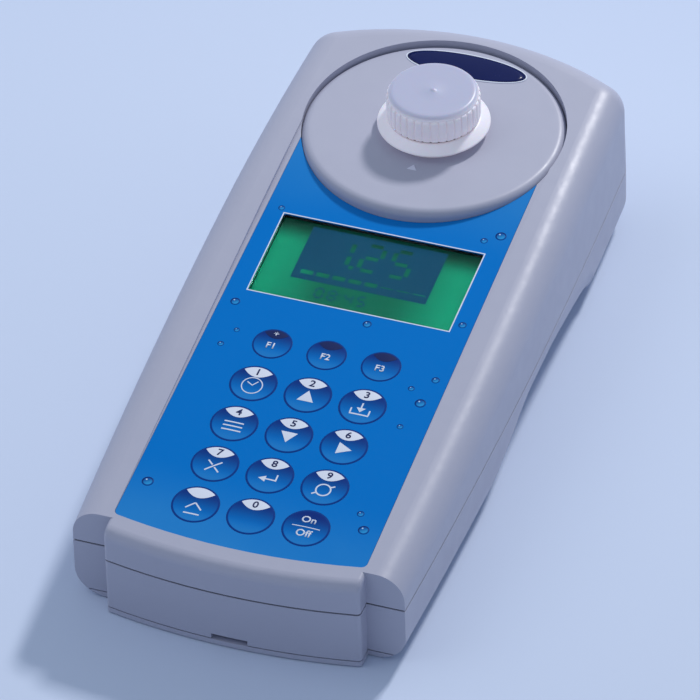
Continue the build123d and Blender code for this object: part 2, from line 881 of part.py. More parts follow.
def make_vial_glass():
    """Round vial with a flat floor, a shoulder and a narrower neck."""
    body_top = vial_top - neck_height - shoulder
    r, n = vial_radius, neck_radius
    outside = [
        (0, vial_base),
        (r - glass_foot, vial_base),
        (r, vial_base + glass_foot),
        (r, body_top),
        (n, body_top + shoulder),
        (n, vial_top),
        (n - glass_wall, vial_top),
        (n - glass_wall, body_top + shoulder - neck_wall),
        (r - glass_wall, body_top - shoulder_wall),
        (r - glass_wall, vial_base + 2 * glass_wall),
        (0, vial_base + 2 * glass_wall),
    ]
    face = make_face(Polyline(*outside, close=True))
    return Pos(0, deck_y, 0) * revolve(Plane.XZ * face, Axis.Z)


def make_shield_ring():
    """White ring round the vial that keeps daylight out of the chamber."""
    inner = vial_radius + ring_gap
    flange = deck_top + ring_lift
    top = cap_top - cap_height - ring_cap_gap
    outline = [
        (inner, deck_top),
        (ring_collar_radius, deck_top),
        (ring_collar_radius, flange),
        (ring_radius, flange),
        (ring_radius, flange + ring_edge),
        (cap_radius, top),
        (inner, top),
    ]
    ring = revolve(Plane.XZ * make_face(Polyline(*outline, close=True)), Axis.Z)
    return Pos(0, deck_y, 0) * ring


def make_vial_cap():
    """Screw cap with a rounded top edge, a ribbed skirt and a moulding nub in the middle."""
    low = cap_top - cap_height
    edge = cap_edge_height
    bore = neck_radius + thread_gap
    drop = cap_height - edge
    outline = [
        Line((0, cap_top), (cap_radius - edge, cap_top)),
        RadiusArc((cap_radius - edge, cap_top), (cap_radius - cap_rib_depth, cap_top - edge), cap_edge_radius),
        Line((cap_radius - cap_rib_depth, cap_top - edge), (cap_radius - cap_rib_depth, low)),
        Line((cap_radius - cap_rib_depth, low), (bore, low)),
        Line((bore, low), (bore, cap_top - cap_skin)),
        Line((bore, cap_top - cap_skin), (0, cap_top - cap_skin)),
        Line((0, cap_top - cap_skin), (0, cap_top)),
    ]
    cap = revolve(Plane.XZ * make_face(outline), Axis.Z)
    arc = 360 / cap_rib_count
    rib_width = 2 * cap_radius * sin(radians(arc * cap_rib_share / 2))
    tall = drop - cap_rib_top_gap
    rib = Pos(cap_radius - cap_rib_root / 2, 0, low + tall / 2) * Box(cap_rib_root, rib_width, tall)
    rib = rib & upright(cap_radius, low - 1, cap_top)
    cap = cap + [Rot(0, 0, k * arc) * rib for k in range(cap_rib_count)]
    nub = Pos(0, 0, cap_top) * Cylinder(nub_radius, 2 * nub_height)
    return Pos(0, deck_y, 0) * (cap + nub)


def make_cap_liner():
    return upright(neck_radius + thread_gap - liner_gap, vial_top, vial_top + liner_thickness, 0, deck_y)


def cell_places():
    return [((k - 1.5) * cell_pitch, 1 if k % 2 else -1) for k in range(4)]


def make_batteries():
    """Four cells side by side, turned end for end in turn, each with its raised contact."""
    middle = (bay_front + bay_rear) / 2
    height = cell_bottom + cell_radius
    cell = Cylinder(cell_radius, cell_length - cell_nub_height, rotation=(90, 0, 0))
    nub = Pos(0, cell_length / 4, 0) * Cylinder(cell_nub_radius, cell_length / 2, rotation=(90, 0, 0))
    return Compound(
        [Pos(x, middle, height) * Rot(0, 0, 0 if way > 0 else 180) * (cell + nub) for x, way in cell_places()]
    )


def make_battery_contacts():
    """Plates at both ends of the bay, with a conical spring at each cell's flat end."""
    height = cell_bottom + cell_radius
    reach = contact_space - contact_thickness
    reach_sprung = reach + 2 * contact_touch
    pieces = []
    for x, way in cell_places():
        for end in (-1, 1):
            wall_y = bay_rear if end > 0 else bay_front
            plate = Box(contact_width, contact_thickness, contact_height)
            plate = Pos(x, wall_y - end * contact_thickness / 2, height) * plate
            if end == way:
                stud = Cylinder(contact_stud_radius, reach - contact_touch, rotation=(90, 0, 0))
                push = contact_thickness + (reach - contact_touch) / 2
            else:
                inside = Cone(spring_wide - spring_wall, spring_narrow - spring_wall, 1.01 * reach_sprung)
                stud = Rot(90 * end, 0, 0) * (Cone(spring_wide, spring_narrow, reach_sprung) - inside)
                push = contact_thickness + reach_sprung / 2
            pieces.append(plate + Pos(x, wall_y - end * push, height) * stud)
    return Compound(pieces)


def screw(radius, length, head_radius, head_height):
    """Screw standing on its head at zero, with a cross recess."""
    body = upright(head_radius, 0, head_height) + upright(radius, 0, head_height + length)
    reach = head_radius * recess_share
    slot = Box(reach, recess_width, 2 * recess_depth) + Box(recess_width, reach, 2 * recess_depth)
    return body - slot


def make_housing_screws():
    floor_low = base + cover_thickness + cover_gap
    pieces = []
    for x, y in housing_screw_places:
        seat = (floor_low if y < cover_rear else base) + screw_head_depth
        low = seat - screw_head_height
        length = parting + parting_gap / 2 + insert_length - pillar_cap / 4 - seat
        pieces.append(Pos(x, y, low) * screw(screw_radius, length, screw_head_radius, screw_head_height))
    return Compound(pieces)


def make_cover_screws():
    low = base + screw_gap
    body = screw(cover_screw_radius, cover_screw_length, cover_screw_head, cover_screw_head_height - screw_gap)
    return Compound([Pos(x, y, low) * body for x, y in cover_screw_places])


def make_threaded_inserts():
    """Brass bushes that take the housing and cover screws."""
    housing = upright(insert_radius, 0, insert_length - insert_gap) - upright(screw_radius + screw_gap, -1, high)
    top = base + cover_thickness + cover_gap + cover_screw_length
    low = base + cover_boss_height + 2 * insert_gap
    cover = upright(insert_radius, low, top) - upright(cover_screw_radius + screw_gap, low - 1, high)
    pieces = [Pos(x, y, parting + parting_gap / 2 + insert_gap / 2) * housing for x, y in housing_screw_places]
    pieces += [Pos(x, y, 0) * cover for x, y in cover_screw_places]
    return Compound(pieces)


def make_rubber_feet():
    return Compound([upright(foot_radius - foot_gap, 0, foot_top, x, y) for x, y in foot_places])


def build_all():
    nodes = {
        "upper_shell": make_upper_shell(),
        "lower_shell": make_lower_shell(),
        "housing_seal": make_housing_seal(),
        "sample_deck": make_sample_deck(),
        "badge_inlay": make_badge(),
        "keypad_foil": make_keypad_foil(),
        "display_window": make_display_window(),
        "lcd_frame": make_lcd_frame(),
        "lcd_glass": make_lcd_glass(),
        "backlight": make_backlight(),
        "main_board": make_main_board(),
        "key_domes": make_key_domes(),
        "board_screws": make_board_screws(),
        "beeper": make_beeper(),
        "board_chips": make_board_chips(),
        "flat_cable": make_flat_cable(),
        "cell_holder": make_cell_holder(),
        "leds": make_leds(),
        "interference_filters": make_filters(),
        "photosensors": make_sensors(),
        "optics_boards": make_optics_boards(),
        "vial_glass": make_vial_glass(),
        "light_shield_ring": make_shield_ring(),
        "vial_cap": make_vial_cap(),
        "cap_liner": make_cap_liner(),
        "batteries": make_batteries(),
        "battery_contacts": make_battery_contacts(),
        "battery_cover": make_battery_cover(),
        "cover_seal": make_cover_seal(),
        "cover_screws": make_cover_screws(),
        "housing_screws": make_housing_screws(),
        "threaded_inserts": make_threaded_inserts(),
        "rubber_feet": make_rubber_feet(),
    }
    nodes.update(make_keys())
    return nodes


os.makedirs("parts", exist_ok=True)
for name, solid in build_all().items():
    export_step(solid, "parts/" + name + ".step")
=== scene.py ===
"""Handheld colorimeter: finishes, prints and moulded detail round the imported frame."""

import json
import math

import bmesh
import bpy
from mathutils import Matrix, Vector


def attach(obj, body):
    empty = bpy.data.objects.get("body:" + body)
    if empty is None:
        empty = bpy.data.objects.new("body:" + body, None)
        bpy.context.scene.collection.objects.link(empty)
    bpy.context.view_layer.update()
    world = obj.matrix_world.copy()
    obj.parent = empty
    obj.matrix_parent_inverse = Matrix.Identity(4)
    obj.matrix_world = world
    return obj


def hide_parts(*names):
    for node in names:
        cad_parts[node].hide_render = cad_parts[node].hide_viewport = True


bl_info = {
    "name": "Handheld Colorimeter",
    "version": (1, 0, 0),
    "blender": (4, 5, 0),
    "location": "View3D > Sidebar > Colorimeter",
    "description": "Dresses the packed colorimeter with finishes, prints and moulded detail",
    "category": "Object",
}

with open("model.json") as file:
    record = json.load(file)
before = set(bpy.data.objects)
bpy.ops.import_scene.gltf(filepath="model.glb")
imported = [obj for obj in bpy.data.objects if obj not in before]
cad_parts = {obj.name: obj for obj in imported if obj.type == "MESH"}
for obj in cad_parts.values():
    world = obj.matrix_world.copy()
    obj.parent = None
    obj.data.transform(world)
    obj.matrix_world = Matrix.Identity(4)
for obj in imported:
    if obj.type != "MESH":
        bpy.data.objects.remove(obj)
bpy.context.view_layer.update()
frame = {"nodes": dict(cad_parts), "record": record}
nodes = frame["nodes"]
mm = 0.001

# The sloping panel: its plane holds the line y = 0, z = panel_origin
panel_tilt = math.radians(5.68)
panel_origin = 38.35 * mm
panel_frame = Matrix.Translation((0, 0, panel_origin)) @ Matrix.Rotation(panel_tilt, 4, "X")

# Places in millimetres: across the panel, along its slope, or up from the bench
deck_y, deck_top, deck_radius, deck_floor, deck_round = 61.3, 44.4, 35.85, 38.8, 2.3
chamber_top, chamber_hole, deck_hole = 43.8, 14.15, 12.6
badge_y, badge_long, badge_short = 88.7, 17.0, 4.9
mark_y, mark_size = 43.7, 2.8
ring_bore, ring_collar, ring_radius, flange_low, flange_edge = 12.05, 12.9, 15.35, 46.6, 0.6
cap_top, cap_low, cap_radius, cap_bore = 57.9, 49.4, 12.83, 10.1
key_columns = (-15.2, 0.0, 15.2)
first_key_row, key_row_pitch = -86.92, 15.0
key_radius, function_key_radius, key_crown = 6.36, 5.33, 0.35
window_along, window_wide, window_tall = 5.08, 56.3, 29.3
display_depth = 1.5
key_rows = (
    ("shift", "0", "on_off"),
    ("7", "8", "9"),
    ("4", "5", "6"),
    ("1", "2", "3"),
    ("f1", "f2", "f3"),
)

# The photograph's camera, fitted to measured points of the object
camera_place = (0.614225, -1.652516, 1.536766)
camera_right = (0.943591, 0.330217, -0.024355)
camera_down = (0.198446, -0.622870, -0.756737)
camera_lens = 448.26


def linear(red, green, blue):
    """Linear colour of a colour written as eight-bit screen values."""
    def one(value):
        value /= 255
        return value / 12.92 if value <= 0.04045 else ((value + 0.055) / 1.055) ** 2.4
    return (one(red), one(green), one(blue), 1.0)


class Finish:
    """A material, built up from short calls on its node tree."""

    def __init__(self, name, roughness=0.5, **sockets):
        self.material = bpy.data.materials.new(name)
        self.material.use_nodes = True
        self.tree = self.material.node_tree
        self.tree.nodes.clear()
        self.shader = self.add("ShaderNodeBsdfPrincipled")
        output = self.add("ShaderNodeOutputMaterial")
        self.tree.links.new(self.shader.outputs[0], output.inputs[0])
        self.place = self.add("ShaderNodeTexCoord").outputs["Object"]
        self.shader.inputs["Roughness"].default_value = roughness
        for socket, value in sockets.items():
            self.shader.inputs[socket.replace("_", " ")].default_value = value

    def add(self, kind, **settings):
        node = self.tree.nodes.new(kind)
        for key, value in settings.items():
            setattr(node, key, value)
        return node

    def put(self, node, inputs):
        for key, value in inputs.items():
            socket = node.inputs[key]
            if isinstance(value, bpy.types.NodeSocket):
                self.tree.links.new(value, socket)
            else:
                socket.default_value = value
        return node

    def set(self, socket, value):
        self.put(self.shader, {socket: value})

    def noise(self, scale, detail=2.0, roughness=0.5, place=None):
        node = self.add("ShaderNodeTexNoise")
        self.put(node, {"Vector": place or self.place, "Scale": scale, "Detail": detail})
        self.put(node, {"Roughness": roughness})
        return node.outputs["Fac"]

    def cells(self, scale):
        node = self.add("ShaderNodeTexVoronoi")
        self.put(node, {"Vector": self.place, "Scale": scale})
        return node.outputs["Distance"]

    def math(self, operation, first, second=0.0):
        node = self.add("ShaderNodeMath", operation=operation)
        self.put(node, {0: first, 1: second})
        return node.outputs[0]

    def span(self, value, low, high, out_low=0.0, out_high=1.0, smooth=False):
        node = self.add("ShaderNodeMapRange", interpolation_type="SMOOTHSTEP" if smooth else "LINEAR")
        self.put(node, {"Value": value, "From Min": low, "From Max": high})
        self.put(node, {"To Min": out_low, "To Max": out_high})
        return node.outputs["Result"]

    def blend(self, factor, first, second):
        node = self.add("ShaderNodeMix", data_type="RGBA")
        self.put(node, {"Factor": factor, 6: first, 7: second})
        return node.outputs[2]

    def reach(self, x, y):
        return self.math("SQRT", self.math("ADD", self.math("POWER", x, 2.0), self.math("POWER", y, 2.0)))

    def split(self, place=None):
        node = self.add("ShaderNodeSeparateXYZ")
        self.put(node, {0: place or self.place})
        return node.outputs

    def turned(self, rotation=(0, 0, 0), scale=(1, 1, 1)):
        node = self.add("ShaderNodeMapping")
        self.put(node, {"Vector": self.place, "Rotation": rotation, "Scale": scale})
        return node.outputs[0]

    def bump(self, height, distance, strength):
        node = self.add("ShaderNodeBump")
        self.put(node, {"Height": height, "Distance": distance, "Strength": strength})
        self.set("Normal", node.outputs[0])


def new_piece(name, mesh, material, body, slot, smooth=True):
    """Put a finished mesh in the scene, on its body; its slot is not used."""
    piece = bpy.data.objects.new(name, mesh)
    bpy.context.scene.collection.objects.link(piece)
    if smooth:
        mesh.shade_smooth()
    mesh.materials.clear()
    mesh.materials.append(material)
    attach(piece, body)
    return piece


def mesh_of(name, points, faces):
    mesh = bpy.data.meshes.new(name)
    mesh.from_pydata([[c * mm for c in point] for point in points], [], faces)
    mesh.update()
    return mesh


def circle_points(radius, turns, centre=(0.0, 0.0)):
    """Evenly spaced points of a circle."""
    angles = [2 * math.pi * k / turns for k in range(turns)]
    return [(centre[0] + radius * math.cos(t), centre[1] + radius * math.sin(t)) for t in angles]


def dome_faces(rings, turns):
    """Faces over a middle point and the rings of points round it, from the inside out."""
    faces = []
    for k in range(turns):
        after = (k + 1) % turns
        faces.append((0, 1 + k, 1 + after))
        for ring in range(rings - 1):
            low, top = 1 + ring * turns, 1 + (ring + 1) * turns
            faces.append((low + k, top + k, top + after, low + after))
    return faces


def lathe(name, profile, turns, centre=(0.0, 0.0)):
    """Solid of revolution from a profile of (radius, height) points, both its ends on the axis."""
    rings = profile[1:-1]
    points = [(*centre, profile[0][1])]
    for radius, height in rings:
        points += [(*point, height) for point in circle_points(radius, turns, centre)]
    points.append((*centre, profile[-1][1]))
    last = len(points) - 1
    low = last - turns
    faces = dome_faces(len(rings), turns)
    faces += [(low + (k + 1) % turns, low + k, last) for k in range(turns)]
    mesh = mesh_of(name, points, faces)
    face_outwards(mesh)
    return mesh


def tube(name, loop, turns, centre=(0.0, 0.0)):
    """Closed ring of revolution from a closed loop of (radius, height) points clear of the axis."""
    points, faces = [], []
    for radius, height in loop:
        points += [(*point, height) for point in circle_points(radius, turns, centre)]
    for ring in range(len(loop)):
        low, top = ring * turns, (ring + 1) % len(loop) * turns
        for k in range(turns):
            after = (k + 1) % turns
            faces.append((low + k, top + k, top + after, low + after))
    mesh = mesh_of(name, points, faces)
    face_outwards(mesh)
    return mesh


def face_outwards(mesh):
    work = bmesh.new()
    work.from_mesh(mesh)
    bmesh.ops.remove_doubles(work, verts=work.verts, dist=0.001 * mm)
    bmesh.ops.recalc_face_normals(work, faces=work.faces)
    work.to_mesh(mesh)
    work.free()


def on_panel(x, along, up=0.0):
    """Point in millimetres, across and along the panel and above its face."""
    point = panel_frame @ Vector((x * mm, along * mm, up * mm))
    return tuple(c / mm for c in point)


def key_height(reach, radius):
    """Height of a key's crown above the panel, a distance from its centre."""
    sphere = (radius**2 + key_crown**2) / (2 * key_crown)
    return math.sqrt(sphere**2 - reach**2) - sphere + key_crown


longest_edge, subdivisions = 1.3, 3


def plate_mesh(name, loops, place, thickness):
    """Thin printed plate from closed outlines in the plane, dropped on a surface by place(x, y, up)."""
    work = bmesh.new()
    for loop in loops:
        corners = [work.verts.new((x * mm, y * mm, 0)) for x, y in loop]
        for a, b in zip(corners, corners[1:] + corners[:1]):
            work.edges.new((a, b))
    bmesh.ops.triangle_fill(work, use_beauty=True, edges=work.edges[:])
    return finish_plate(name, work, place, thickness)


def finish_plate(name, work, place, thickness):
    """Plate from flat faces: cut small enough to follow its surface, thickened and put in place."""
    for _ in range(subdivisions):
        long_edges = [edge for edge in work.edges if edge.calc_length() > longest_edge * mm]
        if long_edges:
            bmesh.ops.subdivide_edges(work, edges=long_edges, cuts=1)
            bmesh.ops.triangulate(work, faces=work.faces)
    bmesh.ops.recalc_face_normals(work, faces=work.faces)
    if work.faces and sum(face.normal.z for face in work.faces) < 0:
        bmesh.ops.reverse_faces(work, faces=work.faces)
    grown = bmesh.ops.extrude_face_region(work, geom=work.faces[:])
    top = {item for item in grown["geom"] if isinstance(item, bmesh.types.BMVert)}
    for vert in work.verts:
        up = thickness if vert in top else 0.0
        x, y, z = place(vert.co.x / mm, vert.co.y / mm, up)
        vert.co = (x * mm, y * mm, z * mm)
    bmesh.ops.recalc_face_normals(work, faces=work.faces)
    mesh = bpy.data.meshes.new(name)
    work.to_mesh(mesh)
    work.free()
    return mesh


letter_weight = 0.018


def text_mesh(words, size):
    """Flat mesh of some plain characters, centred on the origin, in millimetres."""
    data = bpy.data.curves.new("letters", "FONT")
    data.body = words
    data.size = size * mm
    data.offset = letter_weight * size * mm
    data.align_x, data.align_y = "CENTER", "CENTER"
    data.resolution_u = 3
    letters = bpy.data.objects.new("letters", data)
    mesh = bpy.data.meshes.new_from_object(letters)
    bpy.data.objects.remove(letters)
    bpy.data.curves.remove(data)
    return mesh


def printed_text(name, words, size, shift, place, thickness):
    """Plain characters laid on a surface as a thin plate."""
    flat = text_mesh(words, size)
    work = bmesh.new()
    work.from_mesh(flat)
    bpy.data.meshes.remove(flat)
    for vert in work.verts:
        vert.co.x += shift[0] * mm
        vert.co.y += shift[1] * mm
    bmesh.ops.remove_doubles(work, verts=work.verts, dist=0.002 * mm)
    return finish_plate(name, work, place, thickness)


def joined(name, meshes):
    """One mesh from several."""
    work = bmesh.new()
    for mesh in meshes:
        work.from_mesh(mesh)
        bpy.data.meshes.remove(mesh)
    mesh = bpy.data.meshes.new(name)
    work.to_mesh(mesh)
    work.free()
    return mesh


def moulded(name, colour, roughness, grain=2600.0, depth=0.02, tint=0.06, **sockets):
    """Moulded plastic with a fine eroded grain, faint clouding and uneven gloss."""
    finish = Finish(name, roughness, **sockets)
    cloud = finish.noise(38.0, 3.0)
    darker = tuple(c * (1 - tint) for c in colour[:3]) + (1.0,)
    finish.set("Base Color", finish.blend(cloud, colour, darker))
    grains = finish.noise(grain, 3.0, 0.6)
    uneven = finish.noise(210.0, 4.0)
    finish.set("Roughness", finish.span(uneven, 0.3, 0.7, roughness - 0.05, roughness + 0.05))
    finish.bump(grains, depth * mm, 0.6)
    return finish.material


def clear(name, colour, roughness, index, depth=0.004):
    """Clear glass or plastic with faint surface waves."""
    finish = Finish(name, roughness, IOR=index)
    finish.shader.inputs["Transmission Weight"].default_value = 1.0
    waves = finish.noise(60.0, 2.0)
    lighter = tuple(min(1.0, c * 1.03) for c in colour[:3]) + (1.0,)
    finish.set("Base Color", finish.blend(waves, colour, lighter))
    finish.bump(waves, depth * mm, 0.3)
    return finish.material


def metal(name, colour, roughness):
    """Machined metal with fine turning lines and uneven gloss."""
    finish = Finish(name, roughness, Metallic=1.0)
    lines = finish.noise(900.0, 2.0, 0.6, finish.turned(scale=(0.2, 0.2, 3.0)))
    dull = tuple(c * 0.75 for c in colour[:3]) + (1.0,)
    finish.set("Base Color", finish.blend(finish.noise(160.0, 4.0), colour, dull))
    finish.set("Roughness", finish.span(lines, 0.3, 0.7, roughness - 0.08, roughness + 0.1))
    finish.bump(lines, 0.01 * mm, 0.5)
    return finish.material


def circuit_green():
    """Solder mask with copper tracks and tinned dots under it."""
    finish = Finish("circuit_green", 0.32)
    across = finish.add("ShaderNodeTexBrick", offset=0.5)
    finish.put(across, {"Vector": finish.place, "Scale": 260.0, "Mortar Size": 0.03,
                        "Color1": linear(16, 96, 56), "Color2": linear(14, 88, 52),
                        "Mortar": linear(46, 138, 84)})
    dots = finish.span(finish.cells(520.0), 0.08, 0.11)
    finish.set("Base Color", finish.blend(dots, linear(190, 192, 186), across.outputs["Color"]))
    finish.bump(across.outputs["Fac"], 0.03 * mm, 0.4)
    return finish.material


def banded_sleeve():
    """Printed cell sleeve: plain grey-blue with one pale band."""
    finish = Finish("cell_sleeve", 0.3, Coat_Weight=0.4)
    along = finish.split()[1]
    band = finish.span(along, -0.045, -0.0448)
    finish.set("Base Color", finish.blend(band, linear(196, 172, 96), linear(48, 54, 66)))
    finish.bump(finish.noise(900.0, 2.0), 0.01 * mm, 0.3)
    return finish.material


def foil_print(look):
    """Saturated blue print under satin film, paler towards the panel's two rear tips."""
    finish = Finish("foil_print", 0.34, Specular_IOR_Level=0.06)
    x, y, z = finish.split()
    rear = finish.span(y, 0.015, 0.06, smooth=True)
    front = finish.span(y, -0.072, -0.1, smooth=True)
    middle = finish.blend(rear, look.foil_colour, look.foil_tip_colour)
    lit = finish.blend(finish.math("MULTIPLY", front, 0.8), middle, look.foil_front_colour)
    cloud = finish.noise(26.0, 3.0)
    deeper = finish.blend(cloud, lit, look.foil_colour)
    finish.set("Base Color", deeper)
    finish.set("Roughness", finish.span(finish.noise(700.0, 3.0), 0.3, 0.7, 0.3, 0.4))
    finish.bump(finish.noise(3600.0, 2.0), 0.006 * mm, 0.5)
    return finish.material


def key_film(look):
    """Printed key: a dark outline, navy at the top and foil blue at the bottom, by the key's own map."""
    finish = Finish("key_film", 0.28, Specular_IOR_Level=0.1)
    own = finish.add("ShaderNodeUVMap", uv_map="key")
    x, y, z = finish.split(own.outputs[0])
    reach = finish.reach(x, y)
    rise = finish.span(y, -0.7, 0.75, smooth=True)
    body = finish.blend(rise, tuple(look.foil_colour), linear(2, 44, 122))
    shine = finish.span(y, -0.2, -0.95, 0.0, 0.35, smooth=True)
    body = finish.blend(shine, body, tuple(look.foil_front_colour))
    outline = finish.span(reach, 0.9, 0.94, smooth=True)
    finish.set("Base Color", finish.blend(outline, body, linear(2, 56, 134)))
    finish.bump(finish.noise(3600.0, 2.0), 0.004 * mm, 0.4)
    return finish.material


def bubble_print(look):
    """Small printed bubble: foil blue, with a dark upper rim and a pale lower one."""
    finish = Finish("bubble_print", 0.3, Specular_IOR_Level=0.1)
    own = finish.add("ShaderNodeUVMap", uv_map="key")
    x, y, z = finish.split(own.outputs[0])
    reach = finish.reach(x, y)
    slope = finish.math("ADD", finish.math("MULTIPLY", x, 0.5), finish.math("MULTIPLY", y, -0.85))
    fall = finish.span(slope, -0.75, 0.8, smooth=True)
    body = finish.blend(fall, linear(2, 74, 156), linear(46, 158, 220))
    rim = finish.span(reach, 0.66, 0.8, smooth=True)
    ringed = finish.blend(rim, body, finish.blend(fall, linear(3, 38, 104), linear(4, 80, 160)))
    glint = finish.reach(finish.math("ADD", x, 0.3), finish.math("ADD", y, -0.34))
    spot = finish.span(glint, 0.2, 0.1, smooth=True)
    finish.set("Base Color", finish.blend(spot, ringed, linear(196, 226, 248)))
    finish.bump(finish.noise(3600.0, 2.0), 0.004 * mm, 0.3)
    return finish.material


def display_green():
    """Backlit display: bright green, lighter towards its left and right edges, with painted shade darkening
    it towards the rear edge that the window's edge shades.
    """
    finish = Finish("display_green", 0.35, Specular_IOR_Level=0.1)
    across, along, up = finish.split(finish.turned(rotation=(-panel_tilt, 0, 0)))
    # Painted shade: the green darkens towards the rear edge, where the window's edge shades the display.
    rear_painted_shade = finish.span(along, 0.0145, 0.0225, smooth=True)
    edge = finish.span(finish.math("ABSOLUTE", across), 0.008, 0.027, smooth=True)
    middle = finish.blend(finish.noise(40.0), linear(3, 98, 70), linear(3, 90, 64))
    lit = finish.blend(edge, middle, linear(9, 138, 98))
    # Painted shade: the green is blended towards a dark green near the rear edge, and the glow carries the
    # same painted shade.
    painted_shade_green = finish.blend(rear_painted_shade, lit, linear(1, 52, 36))
    finish.set("Base Color", painted_shade_green)
    finish.set("Emission Color", painted_shade_green)
    finish.shader.inputs["Emission Strength"].default_value = 0.3
    finish.bump(finish.noise(2600.0, 2.0), 0.004 * mm, 0.3)
    return finish.material


def cap_white(look):
    """Milky plastic with some subsurface scattering; its walls carry a faint painted glow for light coming
    through them, and its flat top a greyer colour as painted shade.
    """
    finish = Finish("white_plastic", 0.36, Subsurface_Weight=0.15, Subsurface_Scale=0.003)
    x, y, z = finish.split()
    top = finish.span(z, (cap_top - 1.5) * mm, (cap_top - 0.3) * mm, smooth=True)
    white = tuple(look.cap_colour) + (1.0,)
    cloud = finish.blend(finish.noise(60.0, 3.0), white, tuple(c * 0.96 for c in white[:3]) + (1.0,))
    # Painted shade: the flat top gets a greyer colour because it catches less light than the walls.
    finish.set("Base Color", finish.blend(top, cloud, tuple(look.cap_top_shaded_colour) + (1.0,)))
    # Painted glow: the walls, but not the top, give off a faint pinkish light that stands in for light coming
    # through the milky plastic.
    finish.set("Emission Color", finish.blend(top, linear(255, 236, 246), (0.0, 0.0, 0.0, 1.0)))
    finish.shader.inputs["Emission Strength"].default_value = 0.12
    finish.bump(finish.noise(1800.0, 3.0), 0.01 * mm, 0.5)
    return finish.material


def make_finishes(look):
    """Every finish of the record's material slots."""
    grey = tuple(look.housing_colour) + (1.0,)
    black = linear(24, 25, 28)
    return {
        "housing_grey": moulded("housing_grey", grey, 0.42, tint=0.05, depth=0.02),
        # Painted highlight: the raised triangle mark is made paler than the housing it is moulded in.
        "mark_painted_highlight": moulded("mark_painted_highlight", linear(214, 214, 232), 0.4, tint=0.04),
        "white_plastic": cap_white(look),
        "badge_navy": moulded("badge_navy", linear(6, 22, 82), 0.24, tint=0.2, depth=0.002,
                              Specular_IOR_Level=0.15),
        "foil_blue": foil_print(look),
        "key_blue": moulded("key_blue", linear(6, 84, 168), 0.3, tint=0.2, depth=0.006),
        "window_clear": clear("window_clear", (1, 1, 1, 1), 0.03, 1.08, depth=0.001),
        "lcd_green": display_green(),
        "key_film": key_film(look),
        "bubble_print": bubble_print(look),
        "ink_white": moulded("ink_white", linear(222, 228, 242), 0.4, grain=3600.0, depth=0.004, tint=0.04),
        "ink_navy": moulded("ink_navy", linear(8, 30, 88), 0.4, grain=3600.0, depth=0.004, tint=0.15,
                             Specular_IOR_Level=0.15),
        "ink_display": moulded("ink_display", linear(6, 78, 104), 0.4, grain=3600.0, depth=0.003, tint=0.2,
                                Specular_IOR_Level=0.1),
        "bezel_black": moulded("bezel_black", black, 0.5),
        "diffuser_white": moulded("diffuser_white", linear(228, 232, 224), 0.5),
        "board_green": circuit_green(),
        "dome_steel": metal("dome_steel", linear(196, 198, 202), 0.3),
        "screw_steel": metal("screw_steel", linear(178, 180, 184), 0.3),
        "chip_black": moulded("chip_black", linear(34, 34, 37), 0.55),
        "chamber_black": moulded("chamber_black", linear(18, 18, 20), 0.7, depth=0.04),
        "led_clear": clear("led_clear", (0.95, 0.97, 1.0, 1), 0.05, 1.5),
        "filter_glass": clear("filter_glass", (0.6, 0.35, 0.7, 1), 0.02, 1.52),
        "sensor_dark": moulded("sensor_dark", linear(30, 20, 26), 0.15),
        "vial_clear": clear("vial_clear", (0.97, 1.0, 0.99, 1), 0.01, 1.47),
        "liner_white": moulded("liner_white", linear(226, 224, 214), 0.6),
        "cell_sleeve": banded_sleeve(),
        "contact_steel": metal("contact_steel", linear(206, 206, 204), 0.24),
        "insert_brass": metal("insert_brass", linear(196, 160, 88), 0.3),
        "rubber_black": moulded("rubber_black", linear(28, 28, 30), 0.8, grain=1500.0, depth=0.05),
        "cable_grey": moulded("cable_grey", linear(150, 152, 156), 0.5),
    }


class ColorimeterLook(bpy.types.PropertyGroup):
    """Colours and sizes that a user may change."""

    housing_colour: bpy.props.FloatVectorProperty(
        name="Housing", description="Colour of the two housing shells", subtype="COLOR",
        default=linear(178, 179, 197)[:3], min=0, max=1)
    cap_colour: bpy.props.FloatVectorProperty(
        name="Cap", description="Colour of the vial cap and the ring", subtype="COLOR",
        default=linear(238, 236, 243)[:3], min=0, max=1)
    # Painted shade: the cap's flat top is given a greyer colour than its walls.
    cap_top_shaded_colour: bpy.props.FloatVectorProperty(
        name="Cap top", description="Colour of the vial cap's flat top", subtype="COLOR",
        default=linear(186, 188, 212)[:3], min=0, max=1)
    foil_colour: bpy.props.FloatVectorProperty(
        name="Foil", description="Main blue of the keypad foil", subtype="COLOR", size=4,
        default=linear(0, 118, 202), min=0, max=1)
    foil_tip_colour: bpy.props.FloatVectorProperty(
        name="Foil tips", description="Paler blue of the foil's rear tips", subtype="COLOR", size=4,
        default=linear(72, 152, 208), min=0, max=1)
    foil_front_colour: bpy.props.FloatVectorProperty(
        name="Foil front", description="Blue of the foil's front edge", subtype="COLOR", size=4,
        default=linear(66, 152, 212), min=0, max=1)
    rib_count: bpy.props.IntProperty(
        name="Cap ribs", description="Number of ribs round the vial cap", default=36, min=8, max=96)
    floor_colour: bpy.props.FloatVectorProperty(
        name="Floor", description="Colour of the floor and the background", subtype="COLOR",
        default=linear(205, 217, 240)[:3], min=0, max=1)
    far_floor_colour: bpy.props.FloatVectorProperty(
        name="Far floor", description="Deeper colour of the floor far behind", subtype="COLOR",
        default=linear(120, 146, 196)[:3], min=0, max=1)


# Filled by the first operator, used by the others
finishes = {}


class BuildingOperator:
    """What every building operator shares."""

    bl_options = {"REGISTER", "UNDO"}

    def execute(self, context):
        self.build(context.scene.colorimeter_look)
        return {"FINISHED"}


